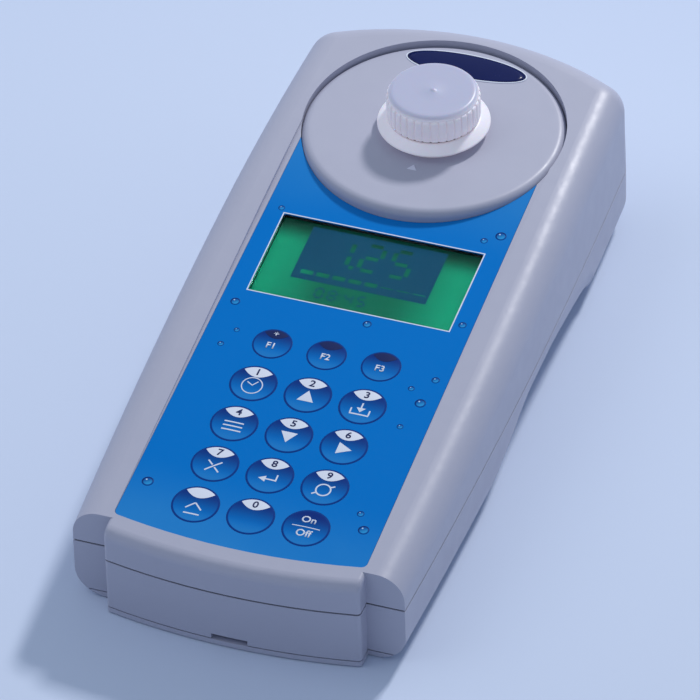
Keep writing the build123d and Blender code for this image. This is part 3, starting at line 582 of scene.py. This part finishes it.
class COLORIMETER_OT_finishes(BuildingOperator, bpy.types.Operator):
    """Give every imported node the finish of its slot"""

    bl_idname = "colorimeter.finishes"
    bl_label = "Finishes"

    def build(self, look):
        finishes.update(make_finishes(look))
        slots = {part["node"]: part["material_slot"] for part in frame["record"]["subparts"]}
        for name, obj in nodes.items():
            material = finishes[slots[name]]
            obj.data.materials.clear()
            obj.data.materials.append(material)


class COLORIMETER_OT_keys(BuildingOperator, bpy.types.Operator):
    """Print every key: its film, its pale window with a digit, and its symbol"""

    bl_idname = "colorimeter.keys"
    bl_label = "Key prints"

    def build(self, look):
        for row, names in enumerate(key_rows):
            for column, name in enumerate(names):
                radius = function_key_radius if name.startswith("f") else key_radius
                print_key(name, key_columns[column], first_key_row + row * key_row_pitch, radius)


film_lift, film_edge, ink_thickness = 0.02, 0.04, 0.04
film_rings, film_turns = 10, 64


def print_key(name, x, along, radius):
    """Film, ink and digit of one key, each riding on that key."""
    def place(a, b, up):
        return on_panel(x + a, along + b, key_height(math.hypot(a, b), radius) + film_lift + up)

    body = "key_" + name
    film = film_mesh(body, place, radius)
    new_piece(body + "_film", film, finishes["key_film"], body, "key_blue")
    white, navy = key_inks(name, radius)
    for tone, slot, parts in (("white", "white_plastic", white), ("navy", "badge_navy", navy)):
        meshes = []
        on_top = (tone == "navy") != (name[0] == "f")
        lift = ink_thickness if on_top else 0.0
        for part in parts:
            def raised(a, b, up):
                return place(a, b, up + lift)

            if isinstance(part, tuple):
                meshes.append(printed_text(body, part[0], part[1], part[2], raised, ink_thickness))
            else:
                meshes.append(plate_mesh(body, part, raised, ink_thickness))
        if meshes:
            title = body + "_" + tone
            new_piece(title, joined(title, meshes), finishes["ink_" + tone], body, slot, smooth=False)


def film_mesh(name, place, radius):
    """Domed printed film over a key, with the key's own map from -1 to 1."""
    points, marks = [place(0, 0, 0)], [(0.0, 0.0)]
    for ring in range(1, film_rings + 1):
        for a, b in circle_points((radius - film_edge) * ring / film_rings, film_turns):
            points.append(place(a, b, 0))
            marks.append((a / radius, b / radius))
    mesh = mesh_of(name + "_film", points, dome_faces(film_rings, film_turns))
    layer = mesh.uv_layers.new(name="key")
    for loop in mesh.loops:
        layer.data[loop.index].uv = marks[loop.vertex_index]
    return mesh


def arc(centre, radius, start, end, steps):
    """Points of an arc, angles in degrees."""
    angles = [math.radians(start + (end - start) * k / steps) for k in range(steps + 1)]
    return [(centre[0] + radius * math.cos(t), centre[1] + radius * math.sin(t)) for t in angles]


def bar(a, b, width):
    """Straight stroke between two points."""
    along = Vector(b) - Vector(a)
    side = Vector((-along.y, along.x)).normalized() * width / 2
    a, b = Vector(a), Vector(b)
    return [tuple(a - side), tuple(b - side), tuple(b + side), tuple(a + side)]


def ring_loops(centre, radius, width):
    return [circle_points(reach, 40, centre) for reach in (radius, radius - width)]


def eye(radius):
    """Pale window at the key's rear edge: the key's own circle above, a flatter curve below."""
    reach = 0.92 * radius
    top = arc((0, 0), reach, 48, 132, 16)
    corner = top[0]
    drop = 0.36 * radius
    low = []
    for k in range(1, 16):
        t = k / 16
        low.append((-corner[0] + 2 * corner[0] * t, corner[1] - drop * 4 * t * (1 - t)))
    return top + low


# Key symbols, in shares of the key's radius
key_strokes = {
    "1": (((0.02, -0.16), (-0.25, 0.0)), ((0.0, -0.16), (0.2, 0.1))),
    "3": (((0, 0.14), (0, -0.24)), ((-0.42, -0.5), (0.42, -0.5)),
          ((-0.4, -0.46), (-0.4, -0.2)), ((0.4, -0.46), (0.4, -0.2))),
    "4": [((-0.42, y), (0.42, y)) for y in (0.02, -0.2, -0.42)],
    "7": (((-0.3, -0.46), (0.3, 0.1)), ((-0.3, 0.1), (-0.06, -0.12)), ((0.06, -0.24), (0.3, -0.46))),
    "8": (((0.34, 0.06), (0.34, -0.3)), ((0.37, -0.26), (-0.14, -0.26))),
    "9": (((-0.42, -0.5), (-0.26, -0.4)), ((0.26, 0.0), (0.42, 0.1))),
    "shift": (((-0.34, -0.3), (0, 0.04)), ((0, 0.04), (0.34, -0.3)), ((-0.34, -0.56), (0.34, -0.56))),
}
key_arrows = {
    "2": ((-0.36, -0.4), (0.36, -0.4), (0, 0.2)),
    "3": ((-0.2, -0.14), (0, -0.38), (0.2, -0.14)),
    "5": ((-0.36, 0.12), (0, -0.46), (0.36, 0.12)),
    "6": ((-0.22, -0.48), (0.4, -0.16), (-0.22, 0.16)),
    "8": ((-0.1, -0.1), (-0.42, -0.26), (-0.1, -0.42)),
}
key_rings = {"1": (-0.16, 0.46), "9": (-0.2, 0.34)}
stroke_width, clock_stroke, divider_stroke = 0.42, 0.3, 0.26
letter_size, digit_size, function_letter_size = 3.2, 3.3, 2.9


def key_symbol(name, radius):
    """Outlines of the symbol on one key, if it has any."""
    width = clock_stroke if name == "1" else stroke_width

    def scaled(points):
        return [(x * radius, y * radius) for x, y in points]

    parts = []
    if name in key_rings:
        height, reach = key_rings[name]
        parts.append(ring_loops((0, height * radius), reach * radius, width))
    parts += [[bar(*scaled(ends), width)] for ends in key_strokes.get(name, ())]
    if name in key_arrows:
        parts.append([scaled(key_arrows[name])])
    return parts


def lamp_symbol(radius):
    """Small lamp with rays."""
    x, y, ray, base_drop = 0, 0.66 * radius, 0.14, 0.5
    inner, outer, bulb = 0.42, 0.72, 0.3
    rays = [(math.cos(t), math.sin(t)) for t in (math.pi * k / 4 for k in range(5))]
    parts = [[bar((x + inner * a, y + inner * b), (x + outer * a, y + outer * b), ray)] for a, b in rays]
    parts.append([arc((x, y), bulb, 0, 330, 11)])
    parts.append([bar((-0.16, y - base_drop), (0.16, y - base_drop), 0.2)])
    return parts


def key_inks(name, radius):
    """White and navy prints of one key, as outlines or (words, size, shift)."""
    r = radius
    if name == "on_off":
        divider = [bar((-0.6 * r, 0.02 * r), (0.6 * r, 0.02 * r), divider_stroke)]
        return [("On", letter_size, (0, 0.42 * r)), ("Off", letter_size, (0, -0.34 * r)), divider], []
    if name[0] == "f":
        white = [(name.upper(), function_letter_size, (0, -0.2 * r))]
        return white + (lamp_symbol(r) if name == "f1" else []), [[eye(r)]]
    digit = [(name, digit_size, (0, 0.62 * r))] if name.isdigit() else []
    return key_symbol(name, r) + [[eye(r)]], digit


class COLORIMETER_OT_display(BuildingOperator, bpy.types.Operator):
    """Frame the window with its printed line and show a plain reading on the display"""

    bl_idname = "colorimeter.display"
    bl_label = "Display"

    def build(self, look):
        half_wide, half_tall, line = window_wide / 2, window_tall / 2, 0.4

        def box_loop(wide, tall):
            return [(-wide, -tall), (wide, -tall), (wide, tall), (-wide, tall)]

        def on_foil(a, b, up):
            return on_panel(a, window_along + b, 0.005 + up)

        loops = [box_loop(half_wide + line, half_tall + line), box_loop(half_wide + 0.06, half_tall + 0.06)]
        border = plate_mesh("window_line", loops, on_foil, 0.03)
        new_piece("window_line", border, finishes["ink_white"], "housing", "white_plastic", smooth=False)
        face_loop = box_loop(half_wide - display_gap, half_tall - display_gap)
        face = plate_mesh("display_face", [face_loop], on_display, -display_thickness)
        new_piece("display_face", face, finishes["lcd_green"], "housing", "lcd_green", smooth=False)
        reading = joined("display_reading", reading_parts())
        new_piece("display_reading", reading, finishes["ink_display"], "housing", "bezel_black", smooth=False)


display_thickness, display_gap = 0.25, 0.1


def on_display(a, b, up):
    """Place on the display's face, a distance under the window."""
    return on_panel(a, window_along + b, up - display_depth)


segments = {
    "0": "abcdef", "1": "bc", "2": "abged", "3": "abgcd", "4": "fgbc",
    "5": "afgcd", "6": "afgedc", "7": "abc", "8": "abcdefg", "9": "abcdfg",
}


def digit_loops(figure, x, y, wide, tall, stroke):
    """Bars of a seven-segment figure."""
    half = tall / 2
    ends = {
        "a": ((x, y + tall), (x + wide, y + tall)), "g": ((x, y + half), (x + wide, y + half)),
        "d": ((x, y), (x + wide, y)), "f": ((x, y + half), (x, y + tall)), "e": ((x, y), (x, y + half)),
        "b": ((x + wide, y + half), (x + wide, y + tall)), "c": ((x + wide, y), (x + wide, y + half)),
    }
    loops = []
    for key in segments[figure]:
        a, b = (Vector(end) for end in ends[key])
        trim = (b - a).normalized() * stroke * 0.6
        loops.append(bar(a + trim, b - trim, stroke))
    return loops


def reading_parts():
    """Dark field with a light reading and a bar scale, and a dark line of figures under it."""
    def printed(a, b, up):
        return on_display(a, b, up + 0.02)

    field = [(-19.4, -6.0), (18.6, -6.0), (18.6, 13.4), (-19.4, 13.4)]
    holes = []
    for figure, x in (("1", -11.5), ("2", -3.0), ("5", 5.2)):
        holes += digit_loops(figure, x, 1.4, 5.0, 9.4, 1.3)
    holes.append(bar((-5.6, 1.5), (-4.3, 1.5), 1.3))
    for k in range(8):
        holes.append(bar((-17.4 + 4.5 * k, -3.2), (-13.9 + 4.5 * k, -3.2), 1.5 if k < 5 else 0.4))
    parts = [plate_mesh("field", [field] + holes, printed, 0.02)]
    for figure, x in (("0", -11.0), ("8", -7.4), ("4", -2.8), ("5", 0.8)):
        for loop in digit_loops(figure, x, -11.4, 2.1, 3.4, 0.55):
            parts.append(plate_mesh("figure", [loop], printed, 0.02))
    for k in range(2):
        dot = bar((-4.4, -10.5 + 1.6 * k), (-3.9, -10.5 + 1.6 * k), 0.55)
        parts.append(plate_mesh("dot", [dot], printed, 0.02))
    return parts


def new_tree(name, inputs):
    """Geometry tree with named inputs, and the nodes that every tree ends in."""
    tree = bpy.data.node_groups.new(name, "GeometryNodeTree")
    tree.interface.new_socket("Geometry", in_out="INPUT", socket_type="NodeSocketGeometry")
    tree.interface.new_socket("Geometry", in_out="OUTPUT", socket_type="NodeSocketGeometry")
    for title, kind in inputs:
        tree.interface.new_socket(title, in_out="INPUT", socket_type=kind)
    start, end = tree.nodes.new("NodeGroupInput"), tree.nodes.new("NodeGroupOutput")
    realize = tree.nodes.new("GeometryNodeRealizeInstances")
    finish = tree.nodes.new("GeometryNodeSetMaterial")
    tree.links.new(realize.outputs[0], finish.inputs["Geometry"])
    tree.links.new(start.outputs["Material"], finish.inputs["Material"])
    tree.links.new(finish.outputs[0], end.inputs[0])
    return tree, start, realize


def tree_result(name, tree, mesh, values):
    """Plain mesh of a tree's result, its inputs set by their identifiers."""
    carrier = bpy.data.objects.new(name, mesh)
    bpy.context.scene.collection.objects.link(carrier)
    modifier = carrier.modifiers.new("repeat", "NODES")
    modifier.node_group = tree
    identifiers = {item.name: item.identifier for item in tree.interface.items_tree if item.in_out == "INPUT"}
    for title, value in values.items():
        modifier[identifiers[title]] = value
    graph = bpy.context.evaluated_depsgraph_get()
    result = bpy.data.meshes.new_from_object(carrier.evaluated_get(graph))
    result.name = name
    carrier.modifiers.clear()
    bpy.data.objects.remove(carrier)
    return result


def ring_tree():
    """Copies of the carrier's mesh round a circle, each turned to face outwards."""
    tree, start, realize = new_tree("round_the_rim", [
        ("Count", "NodeSocketInt"), ("Radius", "NodeSocketFloat"), ("Centre", "NodeSocketVector"),
        ("Material", "NodeSocketMaterial")])
    circle = tree.nodes.new("GeometryNodeMeshCircle")
    tree.links.new(start.outputs["Count"], circle.inputs["Vertices"])
    tree.links.new(start.outputs["Radius"], circle.inputs["Radius"])
    place = tree.nodes.new("GeometryNodeInputPosition")
    align = tree.nodes.new("FunctionNodeAlignRotationToVector")
    align.axis = "X"
    align.pivot_axis = "Z"
    tree.links.new(place.outputs[0], align.inputs["Vector"])
    copies = tree.nodes.new("GeometryNodeInstanceOnPoints")
    tree.links.new(circle.outputs[0], copies.inputs["Points"])
    tree.links.new(start.outputs["Geometry"], copies.inputs["Instance"])
    tree.links.new(align.outputs[0], copies.inputs["Rotation"])
    move = tree.nodes.new("GeometryNodeTransform")
    tree.links.new(copies.outputs[0], move.inputs["Geometry"])
    tree.links.new(start.outputs["Centre"], move.inputs["Translation"])
    tree.links.new(move.outputs[0], realize.inputs[0])
    return tree


def scatter_tree():
    """One unit's mesh on every point of the carrier, scaled by the points' own size."""
    tree, start, realize = new_tree("on_every_point", [
        ("Unit", "NodeSocketObject"), ("Turn", "NodeSocketVector"), ("Material", "NodeSocketMaterial")])
    unit = tree.nodes.new("GeometryNodeObjectInfo")
    tree.links.new(start.outputs["Unit"], unit.inputs["Object"])
    size = tree.nodes.new("GeometryNodeInputNamedAttribute")
    size.data_type = "FLOAT"
    size.inputs["Name"].default_value = "size"
    copies = tree.nodes.new("GeometryNodeInstanceOnPoints")
    tree.links.new(start.outputs["Geometry"], copies.inputs["Points"])
    tree.links.new(unit.outputs["Geometry"], copies.inputs["Instance"])
    tree.links.new(start.outputs["Turn"], copies.inputs["Rotation"])
    tree.links.new(size.outputs["Attribute"], copies.inputs["Scale"])
    tree.links.new(copies.outputs[0], realize.inputs[0])
    return tree


def scattered(name, unit_mesh, places, sizes, turn, material):
    """Mesh of one unit at every place in millimetres."""
    points = mesh_of(name + "_points", places, [])
    layer = points.attributes.new("size", "FLOAT", "POINT")
    for index, size in enumerate(sizes):
        layer.data[index].value = size
    unit = bpy.data.objects.new(name + "_unit", unit_mesh)
    bpy.context.scene.collection.objects.link(unit)
    result = tree_result(name, scatter_tree(), points, {"Unit": unit, "Turn": turn, "Material": material})
    bpy.data.objects.remove(unit)
    return result


class COLORIMETER_OT_cap(BuildingOperator, bpy.types.Operator):
    """Make the vial cap with its rounded ribs, its soft top edge and its moulding nub"""

    bl_idname = "colorimeter.cap"
    bl_label = "Vial cap"

    def build(self, look):
        body = lathe("cap_body", cap_profile(), 144, (0.0, deck_y))
        ribs = tree_result("cap_ribs", ring_tree(), rib_mesh(), {
            "Count": look.rib_count, "Radius": (cap_radius - 0.3) * mm,
            "Centre": (0.0, deck_y * mm, cap_low * mm), "Material": finishes["white_plastic"]})
        cap = new_piece("ribbed_cap", joined("ribbed_cap", [body, ribs]), finishes["white_plastic"],
                        "cap", "white_plastic")
        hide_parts("vial_cap")


def cap_profile():
    """Half section of the cap, from the middle of its top round to the middle of its bore."""
    nub_wide, nub_tall, skirt, edge = 0.75, 0.22, cap_radius - 0.25, 1.5
    dish = 0.1
    profile = [(0, cap_top), (nub_wide * 0.6, cap_top - 0.02), (nub_wide, cap_top - nub_tall)]
    profile += [(nub_wide + 0.3, cap_top - nub_tall - dish), (5.0, cap_top - nub_tall - dish)]
    top, rim = cap_top - nub_tall - dish, skirt - 0.25
    profile.append((rim - edge - 0.6, top))
    profile += arc((rim - edge, top - edge), edge, 90, 0, 8)
    profile += [(skirt, cap_low + 0.5), (skirt - 0.15, cap_low + 0.12), (skirt - 0.5, cap_low)]
    profile += [(cap_bore + 0.4, cap_low), (cap_bore, cap_low + 0.4), (cap_bore, cap_top - 1.55)]
    profile += [(cap_bore - 0.05, cap_top - 1.5), (0, cap_top - 1.5)]
    return profile


def rib_mesh():
    """One low flat-faced rib, standing on the cap's lower edge and fading into the rounded top."""
    tall, wide, deep = 6.7, 1.95, 0.26
    levels = ((0.12, 0.8), (0.3, 1.0), (tall - 0.7, 1.0), (tall - 0.2, 0.75), (tall, 0.2))
    points, faces = [], []
    for height, share in levels:
        for k in range(7):
            angle = math.radians(-90 + 30 * k)
            out = deep * share * math.cos(angle) ** 0.45 if abs(k - 3) < 3 else 0.0
            across = wide / 2 * (0.7 + 0.3 * share) * math.sin(angle)
            points.append((0.22 * share - 0.25 + out, across, height))
    for level in range(len(levels) - 1):
        low, top = 7 * level, 7 * (level + 1)
        for k in range(7):
            after = (k + 1) % 7
            faces.append((low + k, low + after, top + after, top + k))
    faces += [tuple(range(6, -1, -1)), tuple(range(7 * (len(levels) - 1), 7 * len(levels)))]
    mesh = mesh_of("rib", points, faces)
    face_outwards(mesh)
    return mesh


class COLORIMETER_OT_droplets(BuildingOperator, bpy.types.Operator):
    """Scatter small printed bubbles over the foil's borders"""

    bl_idname = "colorimeter.droplets"
    bl_label = "Foil bubbles"

    def build(self, look):
        spots = [(-30.0, -82.6, 1.6), (-28.4, -30.5, 0.9), (-29.9, -14.8, 1.3), (-26.0, -24.6, 0.8),
                 (-29.6, 21.5, 0.9), (27.2, -78.2, 1.0), (29.8, -83.4, 1.5), (27.0, -46.0, 0.9),
                 (29.4, -36.6, 1.5), (25.4, -32.2, 0.9), (30.6, -27.6, 1.1), (6.6, -13.2, 1.2),
                 (31.0, -6.6, 1.1), (26.6, 24.6, 1.0), (30.4, 27.4, 1.5)]
        places = [on_panel(x, along, 0.002) for x, along, size in spots]
        sizes = [size for x, along, size in spots]
        turn = (panel_tilt, 0, 0)
        bubbles = scattered("foil_bubbles", bubble_mesh(), places, sizes, turn, finishes["bubble_print"])
        if "key" not in bubbles.uv_layers:
            raise RuntimeError("the bubbles lost their map")
        new_piece("foil_bubbles", bubbles, finishes["bubble_print"], "housing", "foil_blue")


def bubble_mesh():
    """Low printed dome of unit radius, with a flat map of its own place for its print."""
    profile = [(0, 0.045), (0.35, 0.043), (0.7, 0.034), (0.9, 0.02), (1.0, 0.0), (0.98, -0.004), (0, -0.004)]
    mesh = lathe("bubble", profile, 28)
    layer = mesh.uv_layers.new(name="key")
    for loop in mesh.loops:
        point = mesh.vertices[loop.vertex_index].co / mm
        layer.data[loop.index].uv = (point.x, point.y)
    return mesh


class COLORIMETER_OT_deck(BuildingOperator, bpy.types.Operator):
    """Make the round sample deck with its soft edge, its inlay, its mark and the vial's ring"""

    bl_idname = "colorimeter.deck"
    bl_label = "Sample deck"

    def build(self, look):
        centre = (0.0, deck_y)
        deck = tube("soft_deck", deck_section(), 192, centre)
        deck = new_piece("soft_deck", deck, finishes["housing_grey"], "housing", "housing_grey")
        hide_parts("sample_deck")
        # Painted highlight: the mark takes a paler finish than the housing grey.
        new_piece("deck_mark", mark_mesh(), finishes["mark_painted_highlight"], "housing", "housing_grey", smooth=False)
        inlay = new_piece("domed_inlay", oval_dome(), finishes["badge_navy"], "housing", "badge_navy")
        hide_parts("badge_inlay")
        edge = plate_mesh("inlay_edge", [oval(0.3), oval(-0.05)], on_deck, 0.16)
        new_piece("inlay_edge", edge, finishes["ink_white"], "housing", "white_plastic", smooth=False)
        ring = tube("flanged_ring", ring_section(), 160, centre)
        ring = new_piece("flanged_ring", ring, finishes["white_plastic"], "shield_ring", "white_plastic")
        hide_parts("light_shield_ring")


def deck_section():
    """Section of the deck: a lip over the chamber's edge, a flat top and a rounded outer edge."""
    lip_gap, lip_edge = 0.06, 0.15
    lip_low = chamber_top + lip_gap
    loop = [(deck_hole, lip_low), (deck_hole, deck_top - lip_edge), (deck_hole + lip_edge, deck_top)]
    loop += [(deck_hole + 0.6, deck_top), (deck_radius - deck_round - 0.8, deck_top)]
    loop += arc((deck_radius - deck_round, deck_top - deck_round), deck_round, 90, 0, 12)
    loop += [(deck_radius, deck_floor + 0.4), (deck_radius, deck_floor), (chamber_hole, deck_floor)]
    return loop + [(chamber_hole, lip_low)]


def ring_section():
    """Section of the ring: a sleeve, an undercut flange with a soft edge, and a sloping top."""
    soft, top = 0.16, cap_low - 0.5
    slope_end = flange_low + flange_edge
    loop = [(ring_bore, deck_top + 0.04), (ring_collar, deck_top + 0.04), (ring_collar, flange_low - 0.3)]
    loop += [(ring_collar + 0.3, flange_low), (ring_radius - soft, flange_low)]
    loop.append((ring_radius, flange_low + soft))
    loop += [(ring_radius, slope_end - soft), (ring_radius - soft, slope_end), (cap_radius, top - 0.1)]
    return loop + [(cap_radius - 0.2, top), (ring_bore, top)]


sunk = 0.02


def on_deck(x, y, up):
    return (x, badge_y + y, deck_top + up)


def oval(grow):
    """Outline of the inlay, grown by a margin."""
    return [((badge_long + grow) * x, (badge_short + grow) * y) for x, y in circle_points(1.0, 96)]


def oval_dome():
    """Low domed inlay, laid on the deck."""
    rings, turns, rise, edge = 8, 96, 0.22, 0.1
    points = [on_deck(0, 0, edge + rise)]
    for ring in range(1, rings + 1):
        share = ring / rings
        for k in range(turns):
            angle = 2 * math.pi * k / turns
            x, y = badge_long * share * math.cos(angle), badge_short * share * math.sin(angle)
            points.append(on_deck(x, y, edge + rise * (1 - share**2)))
    outer = 1 + (rings - 1) * turns
    points += [(x, y, deck_top - sunk) for x, y, z in points[outer:]]
    faces = dome_faces(rings + 1, turns)
    faces.append(tuple(range(len(points) - 1, len(points) - 1 - turns, -1)))
    mesh = mesh_of("domed_inlay", points, faces)
    face_outwards(mesh)
    return mesh


def mark_mesh():
    """Raised triangle on the deck, its sides sloping in."""
    half, inner, rise = mark_size / 2, 0.62, 0.3
    plan = [(-half, -half * 0.8), (half, -half * 0.8), (0, half * 0.8)]
    points = [(x, mark_y + y, deck_top - sunk) for x, y in plan]
    points += [(x * inner, mark_y + (y + 0.1 * half) * inner, deck_top + rise) for x, y in plan]
    faces = [(2, 1, 0), (3, 4, 5)] + [(k, (k + 1) % 3, (k + 1) % 3 + 3, k + 3) for k in range(3)]
    return mesh_of("deck_mark", points, faces)


class COLORIMETER_OT_stage(BuildingOperator, bpy.types.Operator):
    """Make the floor, the lights, the background and the camera"""

    bl_idname = "colorimeter.stage"
    bl_label = "Stage"

    def build(self, look):
        floor_paper(look)
        studio_background(look)
        studio_lamps()
        photo_camera()


floor_size = 6.0
ambient_colour, ambient_strength = (0.66, 0.80, 1.0, 1.0), 0.42


def floor_paper(look):
    """Plain pale floor, a deeper blue far behind the object."""
    s = floor_size
    mesh = bpy.data.meshes.new("floor")
    mesh.from_pydata([(-s, -s, 0), (s, -s, 0), (s, s, 0), (-s, s, 0)], [], [(0, 1, 2, 3)])
    floor = bpy.data.objects.new("floor", mesh)
    bpy.context.scene.collection.objects.link(floor)
    finish = Finish("floor_paper", 0.7)
    near, far = tuple(look.floor_colour) + (1.0,), tuple(look.far_floor_colour) + (1.0,)
    x, y, z = finish.split()
    from_middle = finish.reach(finish.math("MULTIPLY", x, 0.8), finish.math("ADD", y, 0.06))
    away = finish.span(from_middle, 0.16, 0.5, smooth=True)
    behind = finish.span(y, -0.12, 0.16, smooth=True)
    deeper = finish.blend(finish.math("MULTIPLY", away, behind), near, far)
    finish.set("Base Color", finish.blend(finish.noise(3.0), deeper, near))
    mesh.materials.append(finish.material)


def studio_background(look):
    """Soft ambient light, and a background of the floor's colour for the camera, gloss and glass."""
    world = bpy.data.worlds.new("studio")
    bpy.context.scene.world = world
    world.use_nodes = True
    tree = world.node_tree
    tree.nodes.clear()
    path = tree.nodes.new("ShaderNodeLightPath")
    seen = path.outputs["Is Camera Ray"]
    for ray in ("Is Transmission Ray", "Is Glossy Ray"):
        either = tree.nodes.new("ShaderNodeMath")
        either.operation = "MAXIMUM"
        tree.links.new(seen, either.inputs[0])
        tree.links.new(path.outputs[ray], either.inputs[1])
        seen = either.outputs[0]
    mix = tree.nodes.new("ShaderNodeMixShader")
    tree.links.new(seen, mix.inputs[0])
    tones = ((ambient_colour, ambient_strength), (tuple(look.floor_colour) + (1.0,), 1.0))
    for socket, (colour, strength) in enumerate(tones, 1):
        light = tree.nodes.new("ShaderNodeBackground")
        light.inputs[0].default_value = colour
        light.inputs[1].default_value = strength
        tree.links.new(light.outputs[0], mix.inputs[socket])
    output = tree.nodes.new("ShaderNodeOutputWorld")
    tree.links.new(mix.outputs[0], output.inputs[0])


def studio_lamps():
    """A key lamp behind the object, and a large soft fill from the left."""
    lamps = [
        ("key_lamp", (0.3, 1.25, 1.2), 0.2, 19.0, (1.0, 0.985, 0.975)),
        ("fill_lamp", (-0.9, -0.3, 1.3), 1.2, 4.0, (0.93, 0.95, 1.0)),
    ]
    for name, place, size, power, colour in lamps:
        data = bpy.data.lights.new(name, "AREA")
        data.shape = "SQUARE"
        data.size = size
        data.energy = power
        data.color = colour
        lamp = bpy.data.objects.new(name, data)
        bpy.context.scene.collection.objects.link(lamp)
        lamp.location = place
        aim = Vector((0, 0, 0.02)) - Vector(place)
        lamp.rotation_mode = "QUATERNION"
        lamp.rotation_quaternion = aim.to_track_quat("-Z", "Y")


def photo_camera():
    """Camera at the photograph's place and angle."""
    data = bpy.data.cameras.new("photo_camera")
    data.lens = camera_lens
    data.sensor_width = 36.0
    data.clip_start, data.clip_end = 0.1, 20.0
    camera = bpy.data.objects.new("photo_camera", data)
    bpy.context.scene.collection.objects.link(camera)
    right, up = Vector(camera_right), -Vector(camera_down)
    back = right.cross(up)
    turn = Matrix((right, up, back)).transposed().to_4x4()
    camera.matrix_world = Matrix.Translation(camera_place) @ turn
    bpy.context.scene.camera = camera


class COLORIMETER_PT_panel(bpy.types.Panel):
    """Colorimeter tools in the 3D view's sidebar"""

    bl_label = "Colorimeter"
    bl_space_type = "VIEW_3D"
    bl_region_type = "UI"
    bl_category = "Colorimeter"

    def draw(self, context):
        look = context.scene.colorimeter_look
        for name in ColorimeterLook.__annotations__:
            self.layout.prop(look, name)
        for operator in building_order:
            self.layout.operator(operator.bl_idname)


building_order = (
    COLORIMETER_OT_finishes,
    COLORIMETER_OT_keys,
    COLORIMETER_OT_display,
    COLORIMETER_OT_deck,
    COLORIMETER_OT_cap,
    COLORIMETER_OT_droplets,
    COLORIMETER_OT_stage,
)
classes = (ColorimeterLook, *building_order, COLORIMETER_PT_panel)


def register():
    for cls in classes:
        bpy.utils.register_class(cls)
    bpy.types.Scene.colorimeter_look = bpy.props.PointerProperty(type=ColorimeterLook)


def unregister():
    del bpy.types.Scene.colorimeter_look
    for cls in reversed(classes):
        bpy.utils.unregister_class(cls)


def main():
    register()
    bpy.context.scene.view_settings.view_transform = "Standard"
    for operator in building_order:
        group, name = operator.bl_idname.split(".")
        getattr(getattr(bpy.ops, group), name)()


if __name__ == "__main__":
    main()
